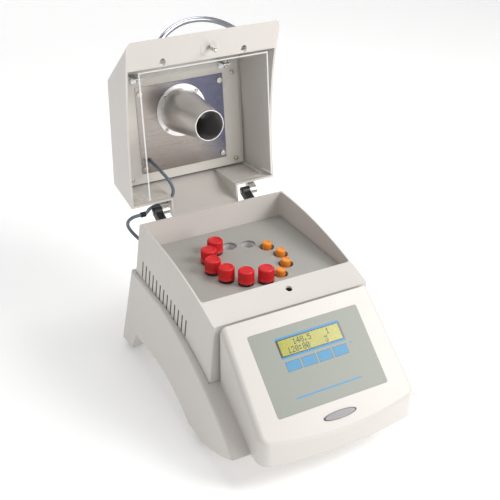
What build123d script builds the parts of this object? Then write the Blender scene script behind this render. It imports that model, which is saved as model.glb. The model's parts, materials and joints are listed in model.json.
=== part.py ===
from build123d import *
import os
from math import atan2, cos, degrees, pi, radians, sin, tan

# Dry block heater with a fan-cooled lid. The lid is modelled shut and stored open.
# +X is to the right, +Y to the rear and +Z up; the bench is at z = 0.

# Tray and ring of wells
tray_z = 170.0            # top of the tray plate above the bench
tray_thickness = 2.0
tray_web = 3.0            # housing floor under the tray plate
ring_y = 10.0             # centre of the ring of wells
well_count = 12
well_ring_radius = 54.5
well_diameter = 21.0
well_depth = 74.0
tray_hole_clearance = 0.3

# Rim where lid and upper housing meet, an arc in side view
rim_half_width = 117.4
rim_front_y = -117.4
rim_rear_y = 117.0
rim_front_z = tray_z + 3.0
rim_rear_z = tray_z + 40.0
rim_rise = 11.0           # arc height above its chord
front_deck_depth = 41.0   # closed deck behind the front rim
rim_wall = 3.1            # rim thickness at the sides
rear_rim_wall = 3.0

# Mouldings
wall = 3.0
seam = 0.5                # gap between neighbouring mouldings
housing_draft = 0.11      # widening per mm of depth below the rim
lid_draft = 0.127         # narrowing per mm of height above the rim
rear_wall_flare = 3.0     # the rear wall leans out this much going down
housing_rear_bottom_z = tray_z - 62.0
housing_front_bottom_z = tray_z - 94.0
housing_front_lean = 3.0

# Lower body with its side cheeks
cheek_half_width = rim_half_width + 13.6   # at the top of the cheeks
cheek_draft = 0.117
cheek_top_z = tray_z - 37.0
base_rear_y = rim_rear_y + 10.0
base_foot_rear_y = base_rear_y + 16.0
foot_height = 11.0
foot_diameter = 15.0
foot_x = cheek_half_width + 2.0
rear_foot_y = base_foot_rear_y - 15.0
front_foot_y = rim_front_y - 4.6

# Control panel housing
panel_tilt = 40.8         # degrees from the horizontal
panel_back_y = rim_front_y - 8.6
panel_back_z = tray_z + 6.0
panel_back_half_width = rim_half_width - 4.9
panel_nose_half_width = rim_half_width + 0.1
panel_side_nose_y = panel_back_y - 117.0
panel_nose_y = panel_side_nose_y - 12.0
panel_bottom_z = 36.0
panel_corner_radius = 16.0
panel_edge_radius = 8.0
label_down = 76.5         # slope distance from the back edge to the label's centre
label_width = 165.5
label_height = 111.2
label_thickness = 0.8
label_recess = 0.6
display_width = 96.5
display_height = 23.5
display_up = 28.25
key_width = 20.5
key_height = 12.5
key_pitch = 23.7
key_count = 4
key_up = 3.25
key_travel = 0.5
badge_up = -74.0

# Lid
lid_gap = 1.0             # between lid and rim when shut
lid_wall = 3.0
lid_rear_y = rim_rear_y + 13.0
lid_front_top_y = -41.0
lid_front_top_z = tray_z + 137.0
lid_rear_top_y = lid_rear_y - 4.5
lid_rear_top_z = tray_z + 151.5
lid_edge_radius = 9.0
lid_open_angle = 96.0
hinge_y = lid_rear_y + 11.5
hinge_z = rim_rear_z + 0.85
hinge_x = 73.0            # middle of each hinge
knuckle_radius = 6.5
knuckle_length = 11.5
hinge_pin_diameter = 5.0
bulge_half_width = 55.0
bulge_top_z = tray_z + 130.0
bulge_bottom_y = lid_rear_y + 27.0

# Grommet where the fan's lead enters the rear wall
grommet_x = -98.0
grommet_z = tray_z - 14.0
grommet_radius = 4.6

# Inside the lid
liner_z = tray_z + 108.0  # underside of the liner, lid shut
liner_thickness = 2.0
plate_thickness = 1.2
plate_width = 142.0
plate_front_y = ring_y - 37.0
plate_length = 133.0
cone_y = ring_y + 8.0
cone_flange_radius = 40.0
cone_base_radius = 34.0
cone_mouth_radius = 22.25
cone_mouth_z = tray_z + 11.0
cone_wall = 1.0
fan_size = 92.0
fan_depth = 24.0
fan_bore_radius = 42.0
guard_half_width = rim_half_width - 17.4
guard_front_y = ring_y - 57.0
guard_thickness = 2.0
guard_bend_z = tray_z + 82.0
guard_skirt_front_y = ring_y - 83.0   # the skirt hangs into the tray when shut
guard_skirt_z = tray_z + 14.0
guard_tab_x = 71.0

# Handle and latch pin
handle_span = 125.0
handle_rise = 27.0
handle_diameter = 8.0
handle_foot_up = 28.0     # along the front slope from its lower edge
latch_x = 8.0
latch_y = ring_y - 102.0
latch_hole_diameter = 9.5
latch_pin_diameter = 5.6
latch_pin_length = 19.0

# Tubes standing in the wells
tube_diameter = 20.0
tube_cap_radius = 11.15
tube_cap_skirt_radius = 11.7
tube_cap_top = 21.5       # above the tray plate
tube_cap_height = 18.0
vial_diameter = 12.9
vial_cap_radius = 6.75
vial_cap_top = 8.0
vial_cap_height = 13.5
tube_angles = (-90, -120, -150, 180, 150, 120)
vial_angles = (30, 0, -30, -60)

os.makedirs("parts", exist_ok=True)
rim_slope = degrees(atan2(rim_rear_z - rim_front_z, rim_rear_y - rim_front_y))
hinge_axis = Axis((0, hinge_y, hinge_z), (1, 0, 0))
across = 400.0            # long enough to cut across the whole object


def store(piece, name):
    piece.part.label = name
    export_step(piece.part, f"parts/{name}.step")


def store_open(piece, name):
    """Turns a lid piece about the hinge to its open place and writes it."""
    opened = piece.part.rotate(hinge_axis, -lid_open_angle)
    opened.label = name
    export_step(opened, f"parts/{name}.step")


def chord_z(y):
    return rim_front_z + (y - rim_front_y) * tan(radians(rim_slope))


def rim_point(share, lift=0.0):
    """Point of the rim arc at a share of its chord, lifted by a gap."""
    y = rim_front_y + share * (rim_rear_y - rim_front_y)
    rise = 4 * rim_rise * share * (1 - share)
    slope = radians(rim_slope)
    return (y - rise * sin(slope), chord_z(y) + rise * cos(slope) + lift)


def polygon(points, inset=0.0):
    """Side-view outline, y and z, drawn in by inset."""
    with BuildSketch(Plane.YZ) as outline:
        with BuildLine():
            Polyline(*points, close=True)
        make_face()
        if inset:
            offset(amount=-inset, kind=Kind.INTERSECTION)
    return outline.sketch


rim_section = Plane(
    origin=(0, rim_front_y, rim_front_z),
    x_dir=(1, 0, 0),
    z_dir=(0, -cos(radians(rim_slope)), -sin(radians(rim_slope))),
)


def section_across(half_width, draft, reach_down, reach_up, plane=rim_section):
    """Cross-section over the width, narrowing upwards by its draft."""
    low = half_width + draft * reach_down
    high = half_width - draft * reach_up
    with BuildSketch(plane) as section:
        with BuildLine():
            Polyline((-low, -reach_down), (low, -reach_down), (high, reach_up), (-high, reach_up), close=True)
        make_face()
    return section.sketch


def housing_profile(inset=0.0, drop=0.0):
    with BuildSketch(Plane.YZ) as profile:
        with BuildLine():
            rim = ThreePointArc(rim_point(0), rim_point(0.5), rim_point(1))
            Polyline(
                rim @ 1,
                (rim_rear_y + rear_wall_flare, housing_rear_bottom_z - drop),
                (rim_front_y - housing_front_lean, housing_front_bottom_z - drop),
                rim @ 0,
            )
        make_face()
        if inset:
            offset(amount=-inset, kind=Kind.INTERSECTION)
    return profile.sketch


def housing_block(inset=0.0, drop=0.0):
    """Outer form of the upper housing, or its inside when inset."""
    with BuildPart() as block:
        extrude(housing_profile(inset, drop), amount=across / 2, both=True)
        extrude(
            section_across(rim_half_width - inset, housing_draft, 240, 60),
            amount=across, both=True, mode=Mode.INTERSECT,
        )
    return block


def panel_outline(inset=0.0):
    """Plan view of the control panel housing with its bowed nose."""
    back = panel_back_y if not inset else panel_back_y + 20
    with BuildSketch() as plan:
        with BuildLine():
            nose = ThreePointArc(
                (-panel_nose_half_width, panel_side_nose_y),
                (0, panel_nose_y),
                (panel_nose_half_width, panel_side_nose_y),
            )
            Polyline(nose @ 1, (panel_back_half_width, back), (-panel_back_half_width, back), nose @ 0)
        make_face()
        fillet(plan.vertices().group_by(Axis.Y)[0], panel_corner_radius)
        if inset:
            offset(amount=-inset, kind=Kind.INTERSECTION)
    return plan.sketch


def panel_profile(inset=0.0):
    fall = tan(radians(panel_tilt))
    back = panel_back_y + (20 if inset else 0)
    nose = panel_nose_y - 5
    points = (
        (back, panel_back_z + (20 * fall if inset else 0)),
        (nose, panel_back_z - (panel_back_y - nose) * fall),
        (nose, panel_bottom_z),
        (back, panel_bottom_z + 14),
    )
    return polygon(points, inset)


def panel_block(inset=0.0):
    with BuildPart() as block:
        extrude(panel_outline(inset), amount=across)
        extrude(panel_profile(inset), amount=across, both=True, mode=Mode.INTERSECT)
    return block


# The label's centre on the sloping panel; x to the right, y up the slope, z outwards.
tilt = radians(panel_tilt)
panel_plane = Plane(
    origin=(0, panel_back_y - label_down * cos(tilt), panel_back_z - label_down * sin(tilt)),
    x_dir=(1, 0, 0),
    z_dir=(0, -sin(tilt), cos(tilt)),
)
key_places = [((i - (key_count - 1) / 2) * key_pitch, key_up) for i in range(key_count)]


def on_panel(height):
    return panel_plane.offset(height)


def housing_rear_y(z):
    """Outside of the upper housing's rear wall."""
    return rim_rear_y + rear_wall_flare * (rim_rear_z - z) / (rim_rear_z - housing_rear_bottom_z)


grommet_plane = Plane(
    origin=(grommet_x, housing_rear_y(grommet_z), grommet_z), x_dir=(-1, 0, 0), z_dir=(0, 1, 0.03)
)

# ---- Upper housing -------------------------------------------------------------
deck_edge_y = rim_front_y + front_deck_depth
tray_rear_y = rim_rear_y - rear_rim_wall
tray_half_width = rim_half_width - rim_wall
tray_middle_y = (deck_edge_y + tray_rear_y) / 2
tray_length = tray_rear_y - deck_edge_y
tray_seat_z = tray_z - tray_thickness
block_hole_radius = well_ring_radius + well_diameter / 2 + 15.0
front_corner_radius = 2.5
rear_window_z = 130.0       # for the power supply's warm air, low in the rear wall
rear_window_width = 70.0
rear_window_height = 24.0
vent_count = 13
vent_length = 26.0
vent_width = 3.4
vent_front_y = -44.0
vent_rear_y = 98.0
vent_front_z = tray_z - 40.0
vent_rear_z = tray_z - 23.0

with BuildPart() as tray_walls:
    with BuildSketch(Plane.XY.offset(tray_seat_z - tray_web)):
        with Locations((0, tray_middle_y + across / 2 - wall)):
            Rectangle(across, tray_length + across)
    extrude(amount=across / 2)

with BuildPart() as housing_hollow:
    add(housing_block(wall, 30).part)
    add(tray_walls.part, mode=Mode.SUBTRACT)

with BuildPart() as upper_housing:
    add(housing_block().part)
    front_edges = upper_housing.faces().sort_by(Axis.Y)[0].edges()
    fillet(front_edges.filter_by(lambda edge: abs((edge % 0.5).Z) > 0.7), front_corner_radius)
    add(housing_hollow.part, mode=Mode.SUBTRACT)
    with BuildSketch(Plane.XY.offset(tray_seat_z)):
        with Locations((0, tray_middle_y)):
            RectangleRounded(2 * tray_half_width, tray_length, 4)
    extrude(amount=across / 4, mode=Mode.SUBTRACT)
    with BuildSketch(Plane.XY.offset(tray_seat_z - tray_web)):
        with Locations((0, ring_y)):
            Circle(block_hole_radius)
    extrude(amount=tray_web, mode=Mode.SUBTRACT)
    with BuildSketch(Plane.XY.offset(tray_z - 5)):
        with Locations((latch_x, latch_y)):
            Circle(latch_hole_diameter / 2)
    extrude(amount=40, mode=Mode.SUBTRACT)
    for i in range(vent_count):
        share = i / (vent_count - 1)
        vent_y = vent_front_y + share * (vent_rear_y - vent_front_y)
        vent_z = vent_front_z + share * (vent_rear_z - vent_front_z)
        with BuildSketch(Plane.YZ):
            with Locations((vent_y, vent_z)):
                SlotOverall(vent_length, vent_width, rotation=90)
        extrude(amount=across, both=True, mode=Mode.SUBTRACT)
    with BuildSketch(Plane.XZ):
        with Locations((0, rear_window_z)):
            RectangleRounded(rear_window_width, rear_window_height, 4)
    extrude(amount=across, mode=Mode.SUBTRACT)
    with BuildSketch(grommet_plane.offset(-2 * wall)):
        Circle(grommet_radius + 0.1)
    extrude(amount=4 * wall, mode=Mode.SUBTRACT)
store(upper_housing, "upper_housing")

# ---- Tray plate over the heating block -------------------------------------------
with BuildPart() as tray_plate:
    with BuildSketch(Plane.XY.offset(tray_seat_z)):
        with Locations((0, tray_middle_y)):
            RectangleRounded(2 * (tray_half_width - seam), tray_length - 2 * seam, 3.5)
    extrude(amount=tray_thickness)
    with Locations((0, ring_y, tray_z)):
        with PolarLocations(well_ring_radius, well_count):
            Hole(well_diameter / 2 + tray_hole_clearance, depth=tray_thickness)
store(tray_plate, "tray_plate")

# ---- Lower body with side cheeks, an open tub --------------------------------------
leg_inner_y = 92.0
leg_toe_y = 106.0
arch_z = 42.0
arch_rear_y = 49.0
front_sole_rear_y = -92.0
front_sole_front_y = -137.0
cheek_tip_y = -216.0
cheek_tip_z = 40.0
cheek_shoulder_y = 20.0
cheek_shoulder_z = cheek_top_z - 4.0
brow_z = cheek_top_z - 38.0     # middle of the cheek's upper curve
leg_width = 34.0
inlet_x = 62.0
inlet_z = cheek_top_z - 41.0
inlet_width = 27.5
inlet_height = 20.0
switch_x = 22.0
switch_width = 13.0
switch_height = 19.5
fuse_x = 98.0
fuse_radius = 6.5
foot_screw_radius = 2.0
foot_places = [(x, y) for x in (-foot_x, foot_x) for y in (rear_foot_y, front_foot_y)]


def base_profile(inset=0.0):
    with BuildSketch(Plane.YZ) as profile:
        with BuildLine():
            top = ThreePointArc(
                (cheek_shoulder_y, cheek_shoulder_z), (-108, brow_z), (cheek_tip_y, cheek_tip_z)
            )
            toe = ThreePointArc(top @ 1, (-175, 21), (front_sole_front_y, foot_height))
            sole = Line(toe @ 1, (front_sole_rear_y, foot_height))
            arch = ThreePointArc(sole @ 1, (-30, 34.5), (arch_rear_y, arch_z))
            Polyline(
                arch @ 1, (leg_inner_y, arch_z), (leg_toe_y, foot_height),
                (base_foot_rear_y, foot_height), (base_rear_y, cheek_top_z), top @ 0,
            )
        make_face()
        if inset:
            offset(amount=-inset, kind=Kind.INTERSECTION)
    return profile.sketch


cheek_section_plane = Plane(origin=(0, 0, cheek_top_z), x_dir=(1, 0, 0), z_dir=(0, -1, 0))


def base_block(inset=0.0):
    with BuildPart() as block:
        extrude(base_profile(inset), amount=across / 2, both=True)
        extrude(
            section_across(cheek_half_width - inset, cheek_draft, 160, 40, cheek_section_plane),
            amount=across, both=True, mode=Mode.INTERSECT,
        )
    return block


# The rear wall leans; on this plane x runs to the left and y up the wall.
rear_lean = atan2(base_foot_rear_y - base_rear_y, cheek_top_z - foot_height)
rear_plane = Plane(
    origin=(0, base_rear_y + (cheek_top_z - inlet_z) * tan(rear_lean), inlet_z),
    x_dir=(-1, 0, 0),
    z_dir=(0, cos(rear_lean), sin(rear_lean)),
)

leg_gap_middle_y = (leg_inner_y + base_foot_rear_y) / 2 + across / 4
leg_gap_half_width = cheek_half_width + cheek_draft * (cheek_top_z - foot_height) - leg_width

with BuildPart() as base_hollow:
    add(base_block(wall).part)
    with Locations((0, leg_gap_middle_y, 0)):
        Box(
            2 * (leg_gap_half_width + wall), across / 2 + base_foot_rear_y - leg_inner_y,
            2 * (arch_z + wall), mode=Mode.SUBTRACT,
        )

with BuildPart() as base_shell:
    add(base_block().part)
    sides = base_shell.faces().sort_by(Axis.X)
    side_edges = sides[0].edges() + sides[-1].edges()
    fillet(side_edges.filter_by(lambda edge: (edge @ 0.5).Z > arch_z + wall), 4)
    with Locations((0, leg_gap_middle_y, 0)):
        Box(
            2 * leg_gap_half_width, across / 2 + base_foot_rear_y - leg_inner_y - 2 * wall,
            2 * arch_z, mode=Mode.SUBTRACT,
        )
    add(base_hollow.part, mode=Mode.SUBTRACT)
    add(housing_block(-seam).part, mode=Mode.SUBTRACT)
    add(panel_block().part, mode=Mode.SUBTRACT)
    with BuildSketch(rear_plane):
        with Locations((-inlet_x, 0)):
            Rectangle(inlet_width + 0.4, inlet_height + 0.4)
        with Locations((-switch_x, 0)):
            Rectangle(switch_width + 0.4, switch_height + 0.4)
        with Locations((-fuse_x, 0)):
            Circle(fuse_radius + 0.2)
    extrude(amount=2 * wall, both=True, mode=Mode.SUBTRACT)
    for x, y in foot_places:
        with BuildSketch(Plane.XY):
            with Locations((x, y)):
                Circle(foot_screw_radius + 0.2)
        extrude(amount=foot_height + 2 * wall, mode=Mode.SUBTRACT)
store(base_shell, "base_shell")

# ---- Control panel housing ------------------------------------------------------
display_hole_width = display_width - 6
display_hole_height = display_height - 4
key_hole = 8.0
key_pocket_depth = 1.4
key_clearance = 0.25


def key_pads(width, height):
    """One rectangle for each key, on the panel plane in use."""
    with Locations(key_places):
        Rectangle(width, height)


with BuildPart() as panel_housing:
    add(panel_block().part)
    corner_edges = panel_housing.edges().filter_by(lambda edge: (edge @ 0.5).Y < panel_back_y - 1)
    top_edges = corner_edges.filter_by(
        lambda edge: abs(panel_plane.to_local_coords(edge @ 0.5).Z) < 0.2
        and abs(panel_plane.to_local_coords(edge @ 0.1).Z) < 0.2
    )
    fillet(top_edges, panel_edge_radius)
    add(panel_block(wall).part, mode=Mode.SUBTRACT)
    with BuildSketch(on_panel(-label_recess)):
        RectangleRounded(label_width + 0.3, label_height + 0.3, 3)
    extrude(amount=5, mode=Mode.SUBTRACT)
    with BuildSketch(on_panel(-label_recess - key_pocket_depth + 0.4)):
        key_pads(key_width + 1, key_height + 1)
    extrude(amount=5, mode=Mode.SUBTRACT)
    with BuildSketch(on_panel(-2 * wall)):
        with Locations((0, display_up)):
            Rectangle(display_hole_width, display_hole_height)
        key_pads(key_hole, key_hole)
    extrude(amount=4 * wall, mode=Mode.SUBTRACT)
store(panel_housing, "panel_housing")

# ---- Control panel: label, window, keys, display and boards ----------------------------
key_plate_thickness = 0.8
key_stem = 6.4
key_stem_bottom = -6.0
switch_gap = 0.1

with BuildPart() as panel_label:
    with BuildSketch(on_panel(-label_recess)):
        RectangleRounded(label_width, label_height, 2.8)
        with Locations((0, display_up)):
            Rectangle(display_width + 0.2, display_height + 0.2, mode=Mode.SUBTRACT)
        with Locations(key_places):
            Rectangle(key_width + 2 * key_clearance, key_height + 2 * key_clearance, mode=Mode.SUBTRACT)
    extrude(amount=label_thickness)
store(panel_label, "panel_label")

with BuildPart() as display_window:
    with BuildSketch(on_panel(-label_recess)):
        with Locations((0, display_up)):
            Rectangle(display_width, display_height)
    extrude(amount=label_thickness - 0.1)
store(display_window, "display_window")

for i, place in enumerate(key_places):
    with BuildPart() as key:
        with BuildSketch(on_panel(0.3 - key_plate_thickness)):
            with Locations(place):
                RectangleRounded(key_width, key_height, 0.8)
        extrude(amount=key_plate_thickness)
        with BuildSketch(on_panel(key_stem_bottom)):
            with Locations(place):
                Rectangle(key_stem, key_stem)
        extrude(amount=0.3 - key_plate_thickness - key_stem_bottom)
    store(key, f"key_{i + 1}")

module_depth = 12.0
board_thickness = 1.6
key_board_depth = 8.4
key_board_width = 120.0
key_board_height = 22.0
tact_switch_size = 6.0
badge_half_width = 24.5
badge_half_height = 5.2
badge_thickness = 0.8
main_board_depth = 30.4
main_board_width = 150.0
main_board_height = 80.0
component_height = 8.0

with BuildPart() as display_module:
    with BuildSketch(on_panel(-module_depth)):
        with Locations((0, display_up + 1)):
            Rectangle(display_width + 6, display_height + 3)
    extrude(amount=module_depth - wall - 0.2)
store(display_module, "display_module")

with BuildPart() as key_board:
    with BuildSketch(on_panel(-key_board_depth - board_thickness)):
        with Locations((0, key_up - 3)):
            Rectangle(key_board_width, key_board_height)
    extrude(amount=board_thickness)
    with BuildSketch(on_panel(-key_board_depth)):
        key_pads(tact_switch_size, tact_switch_size)
    extrude(amount=key_board_depth + key_stem_bottom - key_travel - switch_gap)
store(key_board, "key_board")

with BuildPart() as badge:
    with BuildSketch(on_panel(0)):
        with Locations((0, badge_up)):
            Ellipse(badge_half_width, badge_half_height)
    extrude(amount=badge_thickness)
store(badge, "badge")

with BuildPart() as main_board:
    with BuildSketch(on_panel(-main_board_depth - board_thickness)):
        with Locations((0, 8)):
            Rectangle(main_board_width, main_board_height)
    extrude(amount=board_thickness)
    with BuildSketch(on_panel(-main_board_depth)):
        with Locations((-45, 12), (0, 20), (40, 5)):
            Rectangle(22, 26)
        with Locations((-10, -15), (55, 35)):
            Rectangle(12, 12)
    extrude(amount=component_height)
store(main_board, "main_board")

# ---- Heating block and what stands in it ----------------------------------------------
block_radius = well_ring_radius + well_diameter / 2 + 7.0
block_top_z = tray_seat_z - 1.0
block_height = 84.0
well_floor_z = block_top_z - well_depth
block_bottom_z = block_top_z - block_height
block_centre_bore = 30.0
heater_thickness = 4.0
jacket_thickness = 11.0
jacket_top_z = tray_seat_z - tray_web - 1.0
carrier_z = 58.0
carrier_thickness = 2.0
carrier_half_width = 96.0
carrier_foot_front_y = 52.0
carrier_foot_rear_y = 80.0
sensor_radius = 3.0
sensor_offset = well_ring_radius - well_diameter / 2 - 6.0


def well_ring(angles):
    return [
        (well_ring_radius * cos(radians(angle)), ring_y + well_ring_radius * sin(radians(angle)))
        for angle in angles
    ]


with BuildPart() as heating_block:
    with BuildSketch(Plane.XY.offset(block_bottom_z)):
        with Locations((0, ring_y)):
            Circle(block_radius)
            Circle(block_centre_bore / 2, mode=Mode.SUBTRACT)
            with PolarLocations(sensor_offset, 3, start_angle=90):
                Circle(sensor_radius + 0.1, mode=Mode.SUBTRACT)
    extrude(amount=block_height)
    with Locations((0, ring_y, block_top_z)):
        with PolarLocations(well_ring_radius, well_count):
            Hole(well_diameter / 2, depth=well_depth)
store(heating_block, "heating_block")

with BuildPart() as heater_ring:
    with BuildSketch(Plane.XY.offset(block_bottom_z - heater_thickness)):
        with Locations((0, ring_y)):
            Circle(block_radius - 8)
            Circle(block_centre_bore / 2 + 8, mode=Mode.SUBTRACT)
        with Locations((0, ring_y + sensor_offset)):
            Circle(sensor_radius + 0.5, mode=Mode.SUBTRACT)
    extrude(amount=heater_thickness)
store(heater_ring, "heater_ring")

with BuildPart() as temperature_sensor:
    with BuildSketch(Plane.XY.offset(block_bottom_z - 12)):
        with Locations((0, ring_y + sensor_offset)):
            Circle(sensor_radius - 0.2)
    extrude(amount=12 + block_height / 2)
    with BuildSketch(Plane.XY.offset(block_bottom_z - 12)):
        with Locations((0, ring_y + sensor_offset)):
            Circle(sensor_radius + 1)
    extrude(amount=12 - heater_thickness - 1)
store(temperature_sensor, "temperature_sensor")

with BuildPart() as insulation_jacket:
    with BuildSketch(Plane.XY.offset(block_bottom_z)):
        with Locations((0, ring_y)):
            Circle(block_radius + seam + jacket_thickness)
            Circle(block_radius + seam, mode=Mode.SUBTRACT)
    extrude(amount=jacket_top_z - block_bottom_z)
store(insulation_jacket, "insulation_jacket")

with BuildPart() as block_carrier:
    with BuildSketch(Plane.XY.offset(carrier_z)):
        with Locations((0, ring_y)):
            Rectangle(2 * carrier_half_width, 150)
            Circle(52, mode=Mode.SUBTRACT)
    extrude(amount=carrier_thickness)
    with BuildSketch(Plane.XY.offset(arch_z + wall)):
        with Locations(
            (-carrier_half_width + 5, (carrier_foot_front_y + carrier_foot_rear_y) / 2),
            (carrier_half_width - 5, (carrier_foot_front_y + carrier_foot_rear_y) / 2),
        ):
            Rectangle(10, carrier_foot_rear_y - carrier_foot_front_y)
    extrude(amount=carrier_z - arch_z - wall)
store(block_carrier, "block_carrier")

with BuildPart() as block_standoffs:
    with BuildSketch(Plane.XY.offset(carrier_z + carrier_thickness)):
        with Locations((0, ring_y)):
            with PolarLocations(block_radius - 4, 4, start_angle=45):
                Circle(3.5)
    extrude(amount=block_bottom_z - carrier_z - carrier_thickness)
store(block_standoffs, "block_standoffs")

# Reaction tubes with screw caps, and slimmer vials held by sleeves in their wells
tube_wall = 1.2
cap_gap = 0.3
sleeve_top_z = tray_z - 6.0
vial_sleeve_bore = vial_diameter / 2 + 0.3

with BuildPart() as vial_sleeves:
    with BuildSketch(Plane.XY.offset(well_floor_z)):
        with Locations(well_ring(vial_angles)):
            Circle(well_diameter / 2 - 0.1)
    extrude(amount=sleeve_top_z - well_floor_z)
    with BuildSketch(Plane.XY.offset(well_floor_z + 3)):
        with Locations(well_ring(vial_angles)):
            Circle(vial_sleeve_bore)
    extrude(amount=well_depth, mode=Mode.SUBTRACT)
store(vial_sleeves, "vial_sleeves")


def capped_tube(place, radius, floor_z, cap_profile, cap_bottom_z):
    """A round-bottomed glass tube and its cap, two solids in one piece."""
    x, y = place
    axis_plane = Plane(origin=(x, y, 0), x_dir=(1, 0, 0), z_dir=(0, -1, 0))
    inner = radius - tube_wall
    with BuildPart() as tube:
        with BuildSketch(axis_plane):
            with BuildLine():
                Polyline(
                    (0, floor_z + tube_wall + 1), (inner, floor_z + radius),
                    (inner, cap_bottom_z - cap_gap), (radius, cap_bottom_z - cap_gap),
                    (radius, floor_z + 4), (radius - 4, floor_z), (0, floor_z), close=True,
                )
            make_face()
        revolve(axis=Axis((x, y, 0), (0, 0, 1)))
        with BuildSketch(axis_plane):
            with BuildLine():
                Polyline(*cap_profile, close=True)
            make_face()
        revolve(axis=Axis((x, y, 0), (0, 0, 1)))
    return tube


tube_cap_bottom_z = tray_z + tube_cap_top - tube_cap_height
tube_cap_profile = (
    (0, tube_cap_bottom_z), (tube_cap_skirt_radius, tube_cap_bottom_z),
    (tube_cap_skirt_radius, tube_cap_bottom_z + 3), (tube_cap_radius, tube_cap_bottom_z + 4.5),
    (tube_cap_radius - 0.3, tray_z + tube_cap_top - 1), (tube_cap_radius - 1.5, tray_z + tube_cap_top),
    (0, tray_z + tube_cap_top),
)
vial_cap_bottom_z = tray_z + vial_cap_top - vial_cap_height
vial_cap_profile = (
    (0, vial_cap_bottom_z), (vial_cap_radius, vial_cap_bottom_z),
    (vial_cap_radius, tray_z + vial_cap_top - 1), (vial_cap_radius - 0.8, tray_z + vial_cap_top),
    (0, tray_z + vial_cap_top),
)
for i, place in enumerate(well_ring(tube_angles)):
    tube = capped_tube(place, tube_diameter / 2, well_floor_z, tube_cap_profile, tube_cap_bottom_z)
    store(tube, f"reaction_tube_{i + 1}")
for i, place in enumerate(well_ring(vial_angles)):
    vial = capped_tube(place, vial_diameter / 2, well_floor_z + 3, vial_cap_profile, vial_cap_bottom_z)
    store(vial, f"vial_{i + 1}")

# ---- Feet, rear sockets and power parts ---------------------------------------------
with BuildPart() as feet:
    with BuildSketch(Plane.XY):
        with Locations(foot_places):
            Circle(foot_diameter / 2)
    extrude(amount=foot_height)
    fillet(feet.edges().filter_by(GeomType.CIRCLE).group_by(Axis.Z)[0], 1.5)
    with BuildSketch(Plane.XY):
        with Locations(foot_places):
            Circle(4.2)
    extrude(amount=4, mode=Mode.SUBTRACT)
    with BuildSketch(Plane.XY):
        with Locations(foot_places):
            Circle(foot_screw_radius + 0.2)
    extrude(amount=foot_height, mode=Mode.SUBTRACT)
store(feet, "feet")

with BuildPart() as foot_screws:
    with BuildSketch(Plane.XY.offset(4)):
        with Locations(foot_places):
            Circle(foot_screw_radius)
    extrude(amount=foot_height + wall)
    with BuildSketch(Plane.XY.offset(1.6)):
        with Locations(foot_places):
            Circle(3.8)
    extrude(amount=2.4)
    with BuildSketch(Plane.XY.offset(foot_height + wall)):
        with Locations(foot_places):
            RegularPolygon(4.0, 6)
    extrude(amount=3)
store(foot_screws, "foot_screws")

with BuildPart() as mains_inlet:
    with BuildSketch(rear_plane.offset(-24)):
        with Locations((-inlet_x, 0)):
            Rectangle(inlet_width, inlet_height)
    extrude(amount=25)
    with BuildSketch(rear_plane):
        with Locations((-inlet_x, 0)):
            Rectangle(inlet_width + 4, inlet_height + 4)
    extrude(amount=1.6)
    with BuildSketch(rear_plane.offset(-14)):
        with Locations((-inlet_x, 0)):
            Rectangle(inlet_width - 4, inlet_height - 4)
    extrude(amount=20, mode=Mode.SUBTRACT)
    with BuildSketch(rear_plane.offset(-14)):
        with Locations((-inlet_x - 7, -1), (-inlet_x, 2), (-inlet_x + 7, -1)):
            Rectangle(2, 4)
    extrude(amount=11)
store(mains_inlet, "mains_inlet")

with BuildPart() as switch_body:
    with BuildSketch(rear_plane.offset(-20)):
        with Locations((-switch_x, 0)):
            Rectangle(switch_width, switch_height)
    extrude(amount=20)
    with BuildSketch(rear_plane):
        with Locations((-switch_x, 0)):
            Rectangle(switch_width + 3, switch_height + 3)
    extrude(amount=1.6)
    with BuildSketch(rear_plane.offset(-8)):
        with Locations((-switch_x, 0)):
            Rectangle(switch_width - 2, switch_height - 1.4)
    extrude(amount=12, mode=Mode.SUBTRACT)
store(switch_body, "switch_body")

rocker_width = switch_width - 3
rocker_radius = (switch_height - 4) / 2
rocker_pivot_depth = 1.0
with BuildPart() as switch_rocker:
    rocker_side = Plane(origin=rear_plane.from_local_coords((-switch_x, 0, -rocker_pivot_depth)),
                        x_dir=rear_plane.y_dir, z_dir=rear_plane.x_dir)
    with BuildSketch(rocker_side):
        with BuildLine():
            Polyline((-rocker_radius, 2.5), (0, 1.8), (rocker_radius, 4.8), (rocker_radius - 1.5, -1.5),
                     (0, -4.5), (-rocker_radius + 1.5, -1.5), close=True)
        make_face()
    extrude(amount=rocker_width / 2, both=True)
store(switch_rocker, "switch_rocker")

with BuildPart() as fuse_holder:
    with BuildSketch(rear_plane.offset(-28)):
        with Locations((-fuse_x, 0)):
            Circle(fuse_radius)
    extrude(amount=28)
    with BuildSketch(rear_plane):
        with Locations((-fuse_x, 0)):
            Circle(fuse_radius + 2)
    extrude(amount=5)
    with BuildSketch(rear_plane.offset(3.5)):
        with Locations((-fuse_x, 0)):
            Rectangle(9, 1.4)
    extrude(amount=5, mode=Mode.SUBTRACT)
store(fuse_holder, "fuse_holder")

with BuildPart() as power_supply:
    with Locations((-60, deck_edge_y - 17, 95)):
        Box(80, 24, 50)
store(power_supply, "power_supply")

with BuildPart() as lid_lock:
    with Locations((latch_x, latch_y, tray_z - 30)):
        Box(26, 18, 30)
    with Locations((latch_x, latch_y, tray_z - 5)):
        Cylinder(7, 20)
        Cylinder(latch_pin_diameter / 2 + 0.7, 20, mode=Mode.SUBTRACT)
store(lid_lock, "lid_lock")

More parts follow.
